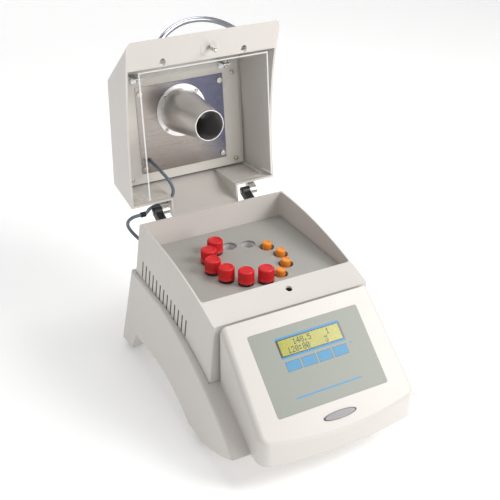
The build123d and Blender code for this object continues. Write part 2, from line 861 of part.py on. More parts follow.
# ---- Lid shell --------------------------------------------------------------------
front_slope = atan2(lid_front_top_z - rim_front_z - lid_gap, lid_front_top_y - rim_front_y)
front_face = Plane(
    origin=(0, rim_front_y + handle_foot_up * cos(front_slope),
            rim_front_z + lid_gap + handle_foot_up * sin(front_slope)),
    x_dir=(1, 0, 0),
    z_dir=(0, -sin(front_slope), cos(front_slope)),
)                         # y runs up the front slope
lid_mouth_front_y = deck_edge_y + 1.0
lid_screw_radius = 2.0
screw_head_radius = 3.8
screw_head_height = 2.0
post_radius = 5.0
post_places = [(x, y) for x in (-88, 88) for y in (-26, 112)]
intake_slots = 7
intake_pitch = 11.0
leaf_thickness = 3.0
leaf_height = 32.0
plate_screw_inset = 6.0
plate_middle_y = plate_front_y + plate_length / 2
plate_screw_places = [
    (x, plate_middle_y + y)
    for x in (-plate_width / 2 + plate_screw_inset, plate_width / 2 - plate_screw_inset)
    for y in (-plate_length / 2 + plate_screw_inset + 4, plate_length / 2 - plate_screw_inset - 2)
]
guard_skirt_rear_y = rim_rear_y - 5.0
guard_tab_half_width = 5.5
guard_rear_y = lid_rear_y - 9.0
guard_rim_clearance = 3.0   # over the housing's rear rim when shut
liner_half_width = rim_half_width - 15.9
guard_tab_z = liner_z - 15.0
guard_tab_height = 10.0
guard_tabs = [(side * guard_tab_x, guard_tab_z) for side in (-1, 1)]
lead_hole_radius = 3.4
lead_side_hole = (hinge_y - 4.3, hinge_z + 17.05)   # y and z of the hole in the bulge's left side
handle_screw_head_depth = 18.0
handle_screw_head_radius = 4.0
lead_plate_place = (-58.0, 86.0)


def lid_profile(inset=0.0):
    rear_rim_z = rim_rear_z + lid_gap + 1.0
    with BuildSketch(Plane.YZ) as profile:
        with BuildLine():
            rim = ThreePointArc(rim_point(0, lid_gap), rim_point(0.5, lid_gap), rim_point(1, lid_gap))
            Polyline(
                rim @ 1, (lid_rear_y, rear_rim_z), (lid_rear_top_y, lid_rear_top_z),
                (lid_front_top_y, lid_front_top_z), rim @ 0,
            )
        make_face()
        if inset:
            offset(amount=-inset, kind=Kind.INTERSECTION)
    return profile.sketch


def lid_block(inset=0.0):
    with BuildPart() as block:
        extrude(lid_profile(inset), amount=across / 2, both=True)
        extrude(
            section_across(rim_half_width - inset, lid_draft, 40, 220),
            amount=across, both=True, mode=Mode.INTERSECT,
        )
    return block


def bulge_profile(inset=0.0):
    bottom = rim_rear_z + lid_gap + 1.0
    inner_y = lid_rear_y - 8
    if inset:
        return polygon(((inner_y, bulge_top_z - 1.6 * inset), (bulge_bottom_y - 1.1 * inset, bottom - 1),
                        (inner_y, bottom - 1)))
    return polygon(((inner_y, bulge_top_z), (bulge_bottom_y, bottom), (inner_y, bottom)))


with BuildPart() as lid_mouth:
    with BuildSketch(Plane.XY.offset(rim_front_z - 20)):
        with Locations((0, (lid_mouth_front_y + lid_rear_y - lid_wall) / 2)):
            Rectangle(across, lid_rear_y - lid_wall - lid_mouth_front_y)
    extrude(amount=70)
    extrude(
        section_across(rim_half_width - lid_wall, lid_draft, 40, 220),
        amount=across, both=True, mode=Mode.INTERSECT,
    )

with BuildPart() as lid_shell:
    add(lid_block().part)
    top_face = lid_shell.faces().sort_by(Axis.Z)[-1]
    slope_face = lid_shell.faces().sort_by(Axis.Y)[0]
    slope_edges = slope_face.edges().filter_by(lambda edge: abs((edge % 0.5).Y) > 0.3)
    fillet(top_face.edges() + slope_edges, lid_edge_radius)
    extrude(bulge_profile(), amount=bulge_half_width, both=True)
    add(lid_block(lid_wall).part, mode=Mode.SUBTRACT)
    extrude(bulge_profile(lid_wall), amount=bulge_half_width - lid_wall, both=True, mode=Mode.SUBTRACT)
    add(lid_mouth.part, mode=Mode.SUBTRACT)
    # Posts that carry the liner, up to the inside of the top.
    with BuildSketch(Plane.XY.offset(liner_z + liner_thickness)):
        with Locations(post_places):
            Circle(post_radius)
    extrude(until=Until.NEXT)
    with BuildSketch(Plane.XY.offset(liner_z + liner_thickness)):
        with Locations(post_places):
            Circle(lid_screw_radius + 0.1)
    extrude(amount=12, mode=Mode.SUBTRACT)
    # Air intake over the fan.
    with BuildSketch(Plane.XY.offset(liner_z + liner_thickness + fan_depth)):
        with Locations((0, cone_y)):
            with GridLocations(1, intake_pitch, 1, intake_slots):
                SlotOverall(76, 4)
    extrude(amount=30, mode=Mode.SUBTRACT)
    # Handle and latch-pin screws, leaf screws and the lead.
    with BuildSketch(front_face.offset(4)):
        with Locations((-handle_span / 2, 0), (handle_span / 2, 0)):
            Circle(lid_screw_radius + 0.3)
    extrude(amount=-60, mode=Mode.SUBTRACT)
    with BuildSketch(front_face.offset(-handle_screw_head_depth)):
        with Locations((-handle_span / 2, 0), (handle_span / 2, 0)):
            Circle(handle_screw_head_radius + 0.5)
    extrude(amount=-40, mode=Mode.SUBTRACT)
    with BuildSketch(Plane.XY.offset(rim_front_z)):
        with Locations((latch_x, latch_y)):
            Circle(latch_pin_diameter / 2 + 0.1)
    extrude(amount=30, mode=Mode.SUBTRACT)
    with BuildSketch(Plane.YZ.offset(-bulge_half_width - 1)):
        with Locations(lead_side_hole):
            Circle(lead_hole_radius + 1.2)
    extrude(amount=2 * lid_wall, mode=Mode.SUBTRACT)
store_open(lid_shell, "lid_shell")

# ---- Inside of the lid ----------------------------------------------------------
cone_centre = (0, cone_y)
rivet_ring_radius = cone_flange_radius - 3
rivet_radius = 1.6
plate_z = liner_z - plate_thickness

with BuildPart() as lid_liner:
    with BuildSketch(Plane.XY.offset(liner_z)):
        with Locations((0, (guard_front_y - 5 + guard_rear_y) / 2)):
            RectangleRounded(2 * liner_half_width, guard_rear_y - guard_front_y + 5, 3)
        with Locations(cone_centre):
            Circle(fan_bore_radius, mode=Mode.SUBTRACT)
        with Locations(post_places):
            Circle(lid_screw_radius + 0.1, mode=Mode.SUBTRACT)
        with Locations(lead_plate_place):
            Circle(lead_hole_radius + 1, mode=Mode.SUBTRACT)
        with Locations(plate_screw_places):
            Circle(lid_screw_radius + 0.1, mode=Mode.SUBTRACT)
    extrude(amount=liner_thickness)
store_open(lid_liner, "lid_liner")

with BuildPart() as fan_plate:
    with BuildSketch(Plane.XY.offset(plate_z)):
        with Locations((0, plate_middle_y)):
            Rectangle(plate_width, plate_length)
        with Locations(cone_centre):
            Circle(cone_base_radius - 2, mode=Mode.SUBTRACT)
            with PolarLocations(rivet_ring_radius, 4, start_angle=45):
                Circle(rivet_radius + 0.05, mode=Mode.SUBTRACT)
        with Locations(lead_plate_place):
            Circle(lead_hole_radius, mode=Mode.SUBTRACT)
        with Locations(plate_screw_places):
            Circle(lid_screw_radius + 0.1, mode=Mode.SUBTRACT)
    extrude(amount=plate_thickness)
store_open(fan_plate, "fan_plate")

cone_top_z = plate_z
with BuildPart() as air_cone:
    with BuildSketch(Plane(origin=(0, cone_y, 0), x_dir=(1, 0, 0), z_dir=(0, -1, 0))):
        with BuildLine():
            Polyline(
                (cone_base_radius - cone_wall, cone_top_z), (cone_flange_radius, cone_top_z),
                (cone_flange_radius, cone_top_z - cone_wall), (cone_base_radius, cone_top_z - cone_wall),
                (cone_mouth_radius, cone_mouth_z), (cone_mouth_radius - cone_wall, cone_mouth_z), close=True,
            )
        make_face()
    revolve(axis=Axis((0, cone_y, 0), (0, 0, 1)))
    with BuildSketch(Plane.XY.offset(cone_top_z)):
        with Locations(cone_centre):
            with PolarLocations(rivet_ring_radius, 4, start_angle=45):
                Circle(rivet_radius + 0.05)
    extrude(amount=-cone_wall, mode=Mode.SUBTRACT)
store_open(air_cone, "air_cone")

with BuildPart() as cone_rivets:
    with BuildSketch(Plane.XY.offset(cone_top_z - cone_wall - 0.9)):
        with Locations(cone_centre):
            with PolarLocations(rivet_ring_radius, 4, start_angle=45):
                Circle(2.6)
    extrude(amount=0.9)
    with BuildSketch(Plane.XY.offset(cone_top_z - cone_wall)):
        with Locations(cone_centre):
            with PolarLocations(rivet_ring_radius, 4, start_angle=45):
                Circle(rivet_radius)
    extrude(amount=cone_wall + plate_thickness)
store_open(cone_rivets, "cone_rivets")

fan_bottom_z = liner_z + liner_thickness
fan_hub_radius = 18.0
fan_axle_radius = 2.0
blade_count = 7
fan_hole_pitch = 82.5
fan_hole_radius = 2.2
with BuildPart() as fan_frame:
    with BuildSketch(Plane.XY.offset(fan_bottom_z)):
        with Locations(cone_centre):
            RectangleRounded(fan_size, fan_size, 5)
            Circle(fan_bore_radius, mode=Mode.SUBTRACT)
            with GridLocations(fan_hole_pitch, fan_hole_pitch, 2, 2):
                Circle(fan_hole_radius, mode=Mode.SUBTRACT)
    extrude(amount=fan_depth - 0.4)
    # Motor carrier and its struts on the intake side.
    with BuildSketch(Plane.XY.offset(fan_bottom_z + fan_depth - 4.4)):
        with Locations(cone_centre):
            Circle(fan_hub_radius)
            with PolarLocations((fan_bore_radius + fan_hub_radius) / 2, 4, start_angle=45):
                Rectangle(fan_bore_radius - fan_hub_radius + 4, 4)
    extrude(amount=4)
    with BuildSketch(Plane.XY.offset(fan_bottom_z + 8)):
        with Locations(cone_centre):
            Circle(fan_axle_radius)
    extrude(amount=fan_depth - 10)
store_open(fan_frame, "fan_frame")

blade_chord = 22.0
blade_thickness = 1.6
blade_pitch = 32.0

with BuildPart() as fan_rotor:
    with BuildSketch(Plane.XY.offset(fan_bottom_z + 2)):
        with Locations(cone_centre):
            Circle(fan_hub_radius)
    extrude(amount=fan_depth - 8)
    with BuildSketch(Plane.XY.offset(fan_bottom_z + 4)):
        with Locations(cone_centre):
            Circle(fan_axle_radius + 0.05)
    extrude(amount=fan_depth, mode=Mode.SUBTRACT)
    for i in range(blade_count):
        turn = 360 * i / blade_count
        root = Plane(origin=(0, cone_y, fan_bottom_z + fan_depth / 2 - 2)).rotated((0, 0, turn))
        blade_root = root.from_local_coords((fan_hub_radius - 1, 0, 0))
        with BuildSketch(Plane(origin=blade_root, x_dir=root.y_dir, z_dir=root.x_dir)):
            Rectangle(blade_chord, blade_thickness, rotation=blade_pitch)
        extrude(amount=fan_bore_radius - fan_hub_radius - 1)
store_open(fan_rotor, "fan_rotor")

# Three-sided clear guard, its front wall bent forwards below the brackets.
with BuildPart() as clear_guard:
    extrude(
        polygon((
            (guard_front_y, liner_z), (guard_front_y, guard_bend_z), (guard_skirt_front_y, guard_skirt_z),
            (guard_skirt_rear_y, guard_skirt_z), (guard_skirt_rear_y, rim_rear_z + guard_rim_clearance),
            (guard_rear_y, rim_rear_z + 2 * guard_rim_clearance), (guard_rear_y, liner_z),
        )),
        amount=guard_half_width, both=True,
    )
    extrude(
        polygon((
            (guard_front_y + guard_thickness, liner_z + 1), (guard_front_y + guard_thickness, guard_bend_z),
            (guard_skirt_front_y + guard_thickness, guard_skirt_z), (guard_skirt_front_y, rim_front_z - 20),
            (across, rim_front_z - 20), (across, liner_z + 1),
        )),
        amount=guard_half_width - guard_thickness, both=True, mode=Mode.SUBTRACT,
    )
    with BuildSketch(Plane.XZ.offset(-guard_front_y - 5)):
        with Locations(guard_tabs):
            Circle(lid_screw_radius + 0.1)
    extrude(amount=10, mode=Mode.SUBTRACT)
store_open(clear_guard, "clear_guard")

bracket_thickness = 1.5
bracket_front_y = guard_front_y + guard_thickness
bracket_foot_y = guard_front_y + 13.0
bracket_bottom_z = guard_tab_z - guard_tab_height / 2
with BuildPart() as guard_brackets:
    for side in (-1, 1):
        with BuildSketch(Plane.YZ.offset(side * guard_tab_x)):
            with BuildLine():
                Polyline(
                    (bracket_front_y, bracket_bottom_z), (bracket_front_y, liner_z),
                    (bracket_foot_y, liner_z),
                    (bracket_foot_y, liner_z - bracket_thickness),
                    (bracket_front_y + bracket_thickness, liner_z - bracket_thickness),
                    (bracket_front_y + bracket_thickness, bracket_bottom_z), close=True,
                )
            make_face()
        extrude(amount=guard_tab_half_width, both=True)
    with BuildSketch(Plane.XZ.offset(-guard_front_y - 5)):
        with Locations(guard_tabs):
            Circle(lid_screw_radius + 0.1)
    extrude(amount=10, mode=Mode.SUBTRACT)
store_open(guard_brackets, "guard_brackets")

with BuildPart() as lid_screws:
    # Upright screws of the plate and the liner.
    with BuildSketch(Plane.XY.offset(plate_z)):
        with Locations(plate_screw_places):
            Circle(lid_screw_radius)
    extrude(amount=plate_thickness + liner_thickness + 3)
    with BuildSketch(Plane.XY.offset(plate_z - screw_head_height)):
        with Locations(plate_screw_places):
            Circle(screw_head_radius)
    extrude(amount=screw_head_height)
    with BuildSketch(Plane.XY.offset(liner_z)):
        with Locations(post_places):
            Circle(lid_screw_radius)
    extrude(amount=liner_thickness + 10)
    with BuildSketch(Plane.XY.offset(liner_z - screw_head_height)):
        with Locations(post_places):
            Circle(screw_head_radius)
    extrude(amount=screw_head_height)
    # Level screws of the guard.
    with BuildSketch(Plane.XZ.offset(-guard_front_y)):
        with Locations(guard_tabs):
            Circle(screw_head_radius)
    extrude(amount=screw_head_height)
    with BuildSketch(Plane.XZ.offset(-guard_front_y)):
        with Locations(guard_tabs):
            Circle(lid_screw_radius)
    extrude(amount=-9)
store_open(lid_screws, "lid_screws")

# ---- Handle and latch pin -------------------------------------------------------
handle_ends = (-handle_span / 2, handle_span / 2)
handle_foot_height = 4.0
handle_foot_radius = 7.5
handle_plane = Plane(origin=front_face.origin, x_dir=(1, 0, 0), z_dir=-front_face.y_dir)
with BuildPart() as handle:
    with BuildLine(handle_plane):
        bow = ThreePointArc((handle_ends[0], 0), (0, handle_rise), (handle_ends[1], 0))
    with BuildSketch(Plane(origin=bow @ 0, z_dir=bow % 0)):
        Circle(handle_diameter / 2)
    sweep(path=bow)
    with BuildSketch(front_face):
        with Locations([(x, 0) for x in handle_ends]):
            Circle(handle_foot_radius)
    extrude(amount=handle_foot_height, taper=8)
    with BuildSketch(front_face):
        Rectangle(2 * handle_span, 60)
    extrude(amount=-30, mode=Mode.SUBTRACT)
    with BuildSketch(front_face):
        with Locations([(x, 0) for x in handle_ends]):
            Circle(lid_screw_radius)
    extrude(amount=6, mode=Mode.SUBTRACT)
store_open(handle, "handle")

with BuildPart() as handle_screws:
    with BuildSketch(front_face.offset(6)):
        with Locations([(x, 0) for x in handle_ends]):
            Circle(lid_screw_radius)
    extrude(amount=-6 - handle_screw_head_depth)
    with BuildSketch(front_face.offset(-handle_screw_head_depth)):
        with Locations([(x, 0) for x in handle_ends]):
            Circle(handle_screw_head_radius)
    extrude(amount=-3)
store_open(handle_screws, "handle_screws")

pin_nut_height = 4.0
deck_share = (latch_y - rim_front_y) / (rim_rear_y - rim_front_y)
pin_seat_z = rim_point(deck_share, lid_gap)[1]
with BuildPart() as latch_pin:
    with BuildSketch(Plane.XY.offset(pin_seat_z - pin_nut_height - 1.6)):
        with Locations((latch_x, latch_y)):
            RegularPolygon(4.6, 6)
    extrude(amount=pin_nut_height)
    with BuildSketch(Plane.XY.offset(pin_seat_z - latch_pin_length)):
        with Locations((latch_x, latch_y)):
            Circle(latch_pin_diameter / 2)
    extrude(amount=latch_pin_length + 6)
    chamfer(latch_pin.edges().filter_by(GeomType.CIRCLE).sort_by(Axis.Z)[0], 1.2)
store_open(latch_pin, "latch_pin")

# ---- Hinges -------------------------------------------------------------------
hinge_places = (-hinge_x, hinge_x)
knuckle_gap = 0.5
knuckle_offset = (knuckle_length + knuckle_gap) / 2


def beside(x):
    """Side-view plane at x, looking towards -X."""
    return Plane(origin=(x, 0, 0), x_dir=(0, 1, 0), z_dir=(1, 0, 0))


with BuildPart() as hinge_base_leaves:
    for x in hinge_places:
        with BuildSketch(beside(x - knuckle_offset)):
            with Locations((hinge_y, hinge_z)):
                Circle(knuckle_radius)
            with BuildLine():
                Polyline(
                    (housing_rear_y(rim_rear_z - 4), rim_rear_z - 4),
                    (housing_rear_y(rim_rear_z - 36), rim_rear_z - 36),
                    (housing_rear_y(rim_rear_z - 36) + leaf_thickness, rim_rear_z - 36),
                    (housing_rear_y(rim_rear_z - 4) + leaf_thickness + 1, rim_rear_z - 16),
                    (hinge_y + 3, hinge_z - 5.5), (hinge_y - 5.5, hinge_z + 2), close=True,
                )
            make_face()
            with Locations((hinge_y, hinge_z)):
                Circle(hinge_pin_diameter / 2 + 0.05, mode=Mode.SUBTRACT)
        extrude(amount=knuckle_length / 2, both=True)
store(hinge_base_leaves, "hinge_base_leaves")

with BuildPart() as hinge_lid_leaves:
    for x in hinge_places:
        with BuildSketch(beside(x + knuckle_offset)):
            with Locations((hinge_y, hinge_z)):
                Circle(knuckle_radius)
            with BuildLine():
                Polyline(
                    (lid_rear_y, hinge_z + 6), (lid_rear_y - 1, hinge_z + leaf_height + 5),
                    (lid_rear_y - 1 + leaf_thickness + 0.5, hinge_z + leaf_height + 5),
                    (lid_rear_y + leaf_thickness + 1, hinge_z + 12),
                    (hinge_y, hinge_z + 6), (hinge_y - 4, hinge_z - 4),
                    close=True,
                )
            make_face()
            with Locations((hinge_y, hinge_z)):
                Circle(hinge_pin_diameter / 2 + 0.05, mode=Mode.SUBTRACT)
        extrude(amount=knuckle_length / 2, both=True)
    add(lid_block().part, mode=Mode.SUBTRACT)
store_open(hinge_lid_leaves, "hinge_lid_leaves")

with BuildPart() as hinge_pins:
    for x in hinge_places:
        with BuildSketch(beside(x)):
            with Locations((hinge_y, hinge_z)):
                Circle(hinge_pin_diameter / 2)
        extrude(amount=knuckle_length + 2, both=True)
store(hinge_pins, "hinge_pins")

# ---- Lead from the housing to the fan in the lid ---------------------------------------
lead_diameter = 5.0
lead_cross_x = -106.0     # where it lies on the hinge axis


def lead_radii(points, share=0.45):
    """Arc radius at each inner corner, as large as its two runs allow."""
    radii = []
    for before, corner, after in zip(points, points[1:], points[2:]):
        run_in, run_out = Vector(corner) - Vector(before), Vector(after) - Vector(corner)
        turn = radians(run_in.get_angle(run_out))
        radii.append(share * min(run_in.length, run_out.length) / tan(turn / 2))
    return radii


def lead_tube(points):
    radii = lead_radii(points)
    print("lead radii", [round(radius, 1) for radius in radii])
    with BuildPart() as tube:
        with BuildLine() as route:
            FilletPolyline(*points, radius=radii)
        path = route.wire()
        with BuildSketch(Plane(origin=path @ 0, z_dir=path % 0)):
            Circle(lead_diameter / 2)
        sweep(path=path)
    section = pi * lead_diameter ** 2 / 4
    volume_share = tube.part.volume / (section * path.length)
    print("lead length", round(path.length, 1), "volume share", round(volume_share, 4))
    return tube


# In the lid, shut: down from the plate, out through the bulge's side and to the hinge axis.
lid_lead_points = [
    (*lead_plate_place, fan_bottom_z + 6),
    (-58, 86.5, hinge_z + 51.15),
    (-55, hinge_y - 47.5, hinge_z + 32.15),
    (-47, hinge_y - 34.5, hinge_z + 20.15),
    (-43, hinge_y - 17.5, hinge_z + 15.15),
    (-52, hinge_y - 4, hinge_z + 17.15),
    (-64, hinge_y - 2, hinge_z + 18.15),
    (-76, hinge_y - 2, hinge_z + 17.15),
    (-87, hinge_y - 1.5, hinge_z + 11.15),
    (-93.5, hinge_y - 0.5, hinge_z + 3.65),
    (-99.5, hinge_y, hinge_z),
    (lead_cross_x, hinge_y, hinge_z),
]
housing_lead_points = [
    (lead_cross_x, hinge_y, hinge_z),
    (-113, hinge_y, hinge_z),
    (-119, hinge_y + 3, hinge_z - 3.35),
    (-122, hinge_y + 10.5, hinge_z - 11.85),
    (-119, hinge_y + 19, hinge_z - 24.85),
    (-111, hinge_y + 18.5, grommet_z + 16),
    (-103, hinge_y + 7.5, grommet_z + 7),
    (grommet_x, hinge_y - 7.5, grommet_z + 2),
    (grommet_x, housing_rear_y(grommet_z) - wall - 2, grommet_z),
]
lid_lead = lead_tube(lid_lead_points)
store_open(lid_lead, "lid_lead")
housing_lead = lead_tube(housing_lead_points)
store(housing_lead, "housing_lead")

with BuildPart() as lead_grommet:
    with BuildSketch(grommet_plane.offset(-wall - 2.4)):
        Circle(grommet_radius + 1.5)
    extrude(amount=1.4)
    with BuildSketch(grommet_plane.offset(-wall - 1)):
        Circle(grommet_radius)
    extrude(amount=wall + 1.1)
    with BuildSketch(grommet_plane.offset(0.1)):
        Circle(grommet_radius + 1.5)
    extrude(amount=2.4)
    fillet(lead_grommet.edges().filter_by(GeomType.CIRCLE).sort_by(Axis.Y)[-1], 1)
    with BuildSketch(grommet_plane.offset(-10)):
        Circle(lead_diameter / 2 + 0.9)
    extrude(amount=20, mode=Mode.SUBTRACT)
store(lead_grommet, "lead_grommet")
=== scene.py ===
# Dry block heater with its lid open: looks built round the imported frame, all in metres.
import json
import math

import bmesh
import bpy
from mathutils import Matrix, Vector

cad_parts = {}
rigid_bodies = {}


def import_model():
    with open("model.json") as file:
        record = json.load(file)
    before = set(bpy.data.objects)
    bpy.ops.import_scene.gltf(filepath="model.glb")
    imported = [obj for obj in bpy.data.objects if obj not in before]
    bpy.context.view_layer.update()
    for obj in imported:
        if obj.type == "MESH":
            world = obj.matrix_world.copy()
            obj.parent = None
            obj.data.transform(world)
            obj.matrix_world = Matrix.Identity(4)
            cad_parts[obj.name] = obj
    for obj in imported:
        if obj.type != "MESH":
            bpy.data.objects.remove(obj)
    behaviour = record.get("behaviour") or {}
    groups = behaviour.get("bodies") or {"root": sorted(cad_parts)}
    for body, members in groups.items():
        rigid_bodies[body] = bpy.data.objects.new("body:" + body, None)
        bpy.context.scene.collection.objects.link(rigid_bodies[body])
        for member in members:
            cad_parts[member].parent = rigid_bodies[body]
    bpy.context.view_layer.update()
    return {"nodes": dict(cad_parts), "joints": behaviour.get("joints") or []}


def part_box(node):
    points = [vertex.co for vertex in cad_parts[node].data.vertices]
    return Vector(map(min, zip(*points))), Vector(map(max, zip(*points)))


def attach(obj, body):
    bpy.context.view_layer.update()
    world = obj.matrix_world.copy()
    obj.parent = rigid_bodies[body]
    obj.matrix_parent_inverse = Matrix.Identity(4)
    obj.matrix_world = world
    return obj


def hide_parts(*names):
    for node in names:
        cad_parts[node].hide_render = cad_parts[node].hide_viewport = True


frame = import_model()
nodes = frame["nodes"]
mm = 0.001


# Places taken from the frame
def middle(node):
    low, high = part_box(node)
    return (Vector(low) + Vector(high)) / 2


hinge = middle("hinge_pins")
lidJoint = next(joint for joint in frame["joints"] if joint["name"] == "lid_hinge")
lidAngle = max(abs(limit) for limit in lidJoint["range_deg"])
lidOpen = (Matrix.Translation(hinge) @ Matrix.Rotation(math.radians(-lidAngle), 4, "X")
           @ Matrix.Translation(-hinge))  # from its shut place to where it stands

panelTilt = math.radians(40.8)
panelUp = Vector((0, math.cos(panelTilt), math.sin(panelTilt)))
panelOut = Vector((0, -math.sin(panelTilt), math.cos(panelTilt)))
panelMiddle = middle("panel_label") + panelOut * 0.2 * mm  # centre of the label, level with the housing
panelPlace = Matrix.Translation(panelMiddle) @ Matrix((
    (1, 0, 0, 0),
    (0, panelUp.y, panelOut.y, 0),
    (0, panelUp.z, panelOut.z, 0),
    (0, 0, 0, 1),
))  # x right, y up the slope, z outwards


# Camera
cameraView = {"azimuth": -28.8, "elevation": 29.85, "roll": 0.53, "distance": 1.4355,
              "target": (0.021, 0.0405, 0.170), "lens": 71.3}


def makeCamera(view):
    azimuth, elevation = math.radians(view["azimuth"]), math.radians(view["elevation"])
    back = Vector((math.sin(azimuth) * math.cos(elevation), -math.cos(azimuth) * math.cos(elevation),
                   math.sin(elevation)))
    right = (-back).cross(Vector((0, 0, 1))).normalized()
    up = right.cross(-back)
    cosine, sine = math.cos(math.radians(view["roll"])), math.sin(math.radians(view["roll"]))
    right, up = right * cosine + up * sine, up * cosine - right * sine
    camera = bpy.data.objects.new("camera", bpy.data.cameras.new("camera"))
    bpy.context.scene.collection.objects.link(camera)
    camera.data.lens, camera.data.sensor_width = view["lens"], 36
    camera.data.clip_start, camera.data.clip_end = 0.05, 20
    place = Matrix((right, up, back)).transposed().to_4x4()
    place.translation = Vector(view["target"]) + back * view["distance"]
    camera.matrix_world = place
    bpy.context.scene.camera = camera


makeCamera(cameraView)
print("camera set")


# The fan's lead, in two lengths that meet on the hinge line
leadSizes = {"diameter": 5 * mm, "sides": 6, "steps": 16}
lidLeadRoute = [  # lid shut, mm
    (-58, 86, 286), (-58, 86.5, 262), (-55, 94, 243), (-47, 107, 231), (-43, 124, 226), (-52, 137.5, 228),
    (-64, 139.5, 229), (-76, 139.5, 228), (-87, 140, 222), (-93.5, 141, 214.5), (-99.5, 141.5, 210.85),
    (-106, 141.5, 210.85),
]
housingLeadRoute = [
    (-106, 141.5, 210.85), (-113, 141.5, 210.85), (-119, 144.5, 207.5), (-122, 152, 199), (-119, 160.5, 186),
    (-111, 160, 172), (-103, 149, 163), (-98, 134, 158), (-98, 113.3, 156),
]


def curveMesh(curve):  # what the curve looks like now, as a mesh
    holder = bpy.data.objects.new("curveHolder", curve)
    bpy.context.scene.collection.objects.link(holder)
    bpy.context.view_layer.update()
    made = bpy.data.meshes.new_from_object(holder.evaluated_get(bpy.context.evaluated_depsgraph_get()))
    bpy.data.objects.remove(holder)
    return made


def leadTube(name, points, body, node):
    curve = bpy.data.curves.new(name + "Line", "CURVE")
    curve.dimensions, curve.resolution_u = "3D", leadSizes["steps"]
    spline = curve.splines.new("NURBS")
    spline.points.add(len(points) - 1)
    for point, place in zip(spline.points, points):
        point.co = (*place, 1)
    spline.order_u, spline.use_endpoint_u = 3, True
    centreLine = [tuple(vertex.co) for vertex in curveMesh(curve).vertices]
    curve.bevel_depth, curve.bevel_resolution = leadSizes["diameter"] / 2, leadSizes["sides"]
    curve.use_fill_caps = True
    tube = curveMesh(curve)
    tube.name = name
    lead = bpy.data.objects.new(name, tube)
    bpy.context.scene.collection.objects.link(lead)
    tube.shade_smooth()
    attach(lead, body)
    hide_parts(node)
    return lead


lidLead = leadTube("lidLead", [lidOpen @ (Vector(point) * mm) for point in lidLeadRoute], "lid", "lid_lead")
housingLead = leadTube("housingLead", [Vector(point) * mm for point in housingLeadRoute], "base",
                       "housing_lead")
print("leads laid")


# Shader helpers
class Wire:  # an output socket that takes part in sums
    def __init__(self, tree, socket):
        self.tree, self.socket = tree, socket

    def maths(self, operation, *values):
        node = self.tree.nodes.new("ShaderNodeMath")
        node.operation = operation
        for entry, value in zip(node.inputs, values):
            if isinstance(value, Wire):
                self.tree.links.new(value.socket, entry)
            else:
                entry.default_value = value
        return Wire(self.tree, node.outputs[0])

    def __add__(self, other):
        return self.maths("ADD", self, other)

    def __radd__(self, other):
        return self.maths("ADD", other, self)

    def __sub__(self, other):
        return self.maths("SUBTRACT", self, other)

    def __rsub__(self, other):
        return self.maths("SUBTRACT", other, self)

    def __mul__(self, other):
        return self.maths("MULTIPLY", self, other)

    def __rmul__(self, other):
        return self.maths("MULTIPLY", other, self)

    def __truediv__(self, other):
        return self.maths("DIVIDE", self, other)

    def __lt__(self, other):
        return self.maths("LESS_THAN", self, other)

    def __gt__(self, other):
        return self.maths("GREATER_THAN", self, other)

    def size(self):
        return self.maths("ABSOLUTE", self)

    def larger(self, other):
        return self.maths("MAXIMUM", self, other)

    def wave(self, pitch):  # 0 to 1 and back once in each pitch
        return self.maths("PINGPONG", self, pitch / 2) / (pitch / 2)


class Finish:
    def __init__(self, name):
        self.material = bpy.data.materials.new(name)
        self.material.use_nodes = True
        self.tree = self.material.node_tree
        self.shader = self.tree.nodes["Principled BSDF"]
        self.place = self.node("ShaderNodeTexCoord", out="Object")

    def node(self, kind, settings=None, sockets=None, out=0):
        made = self.tree.nodes.new(kind)
        for name, value in (settings or {}).items():
            if name == "stops":
                while len(made.color_ramp.elements) < len(value):
                    made.color_ramp.elements.new(0.5)
                for element, (position, colour) in zip(made.color_ramp.elements, value):
                    element.position, element.color = position, colour
            else:
                setattr(made, name, value)
        self.fill(made, sockets or {})
        return Wire(self.tree, made.outputs[out])

    def fill(self, made, sockets):
        for name, value in sockets.items():
            if isinstance(value, Wire):
                self.tree.links.new(value.socket, made.inputs[name])
            else:
                made.inputs[name].default_value = value

    def put(self, **sockets):
        self.fill(self.shader, {name.replace("_", " "): value for name, value in sockets.items()})
        return self

    def noise(self, scale, detail=2.0, rough=0.5, place=None):
        return self.node("ShaderNodeTexNoise", {"noise_dimensions": "3D"},
                         {"Vector": place or self.place, "Scale": scale, "Detail": detail,
                          "Roughness": rough})

    def turned(self, scale):
        return self.node("ShaderNodeMapping", {"vector_type": "POINT"},
                         {"Vector": self.place, "Scale": scale})

    def along(self, direction, origin=(0, 0, 0)):  # metres from a point along a direction
        shifted = self.node("ShaderNodeVectorMath", {"operation": "SUBTRACT"},
                            {0: self.place, 1: tuple(origin)})
        return self.node("ShaderNodeVectorMath", {"operation": "DOT_PRODUCT"},
                         {0: shifted, 1: tuple(direction)},
                         out="Value")

    def mix(self, share, first, second):
        return self.node("ShaderNodeMix", {"data_type": "RGBA"}, {0: share, 6: first, 7: second}, out=2)

    def bump(self, height, strength, distance):
        return self.put(Normal=self.node("ShaderNodeBump", None,
                                         {"Height": height, "Strength": strength, "Distance": distance}))


def rgb(red, green, blue):  # screen values 0 to 255 to linear light
    def linear(value):
        share = value / 255
        return share / 12.92 if share <= 0.04045 else ((share + 0.055) / 1.055) ** 2.4
    return (linear(red), linear(green), linear(blue), 1)


# Finishes
def mouldedPlastic(name, light, dark, roughness, grain):
    finish = Finish(name)
    cloud = finish.noise(7, 3)
    finish.put(Base_Color=finish.mix(cloud, light, dark),
               Roughness=roughness + 0.08 * (finish.noise(60, 2) - 0.5))
    finish.put(IOR=1.5)
    finish.bump(finish.noise(1500, 2) + 0.6 * finish.noise(420, 2), grain, 0.2 * mm)
    return finish


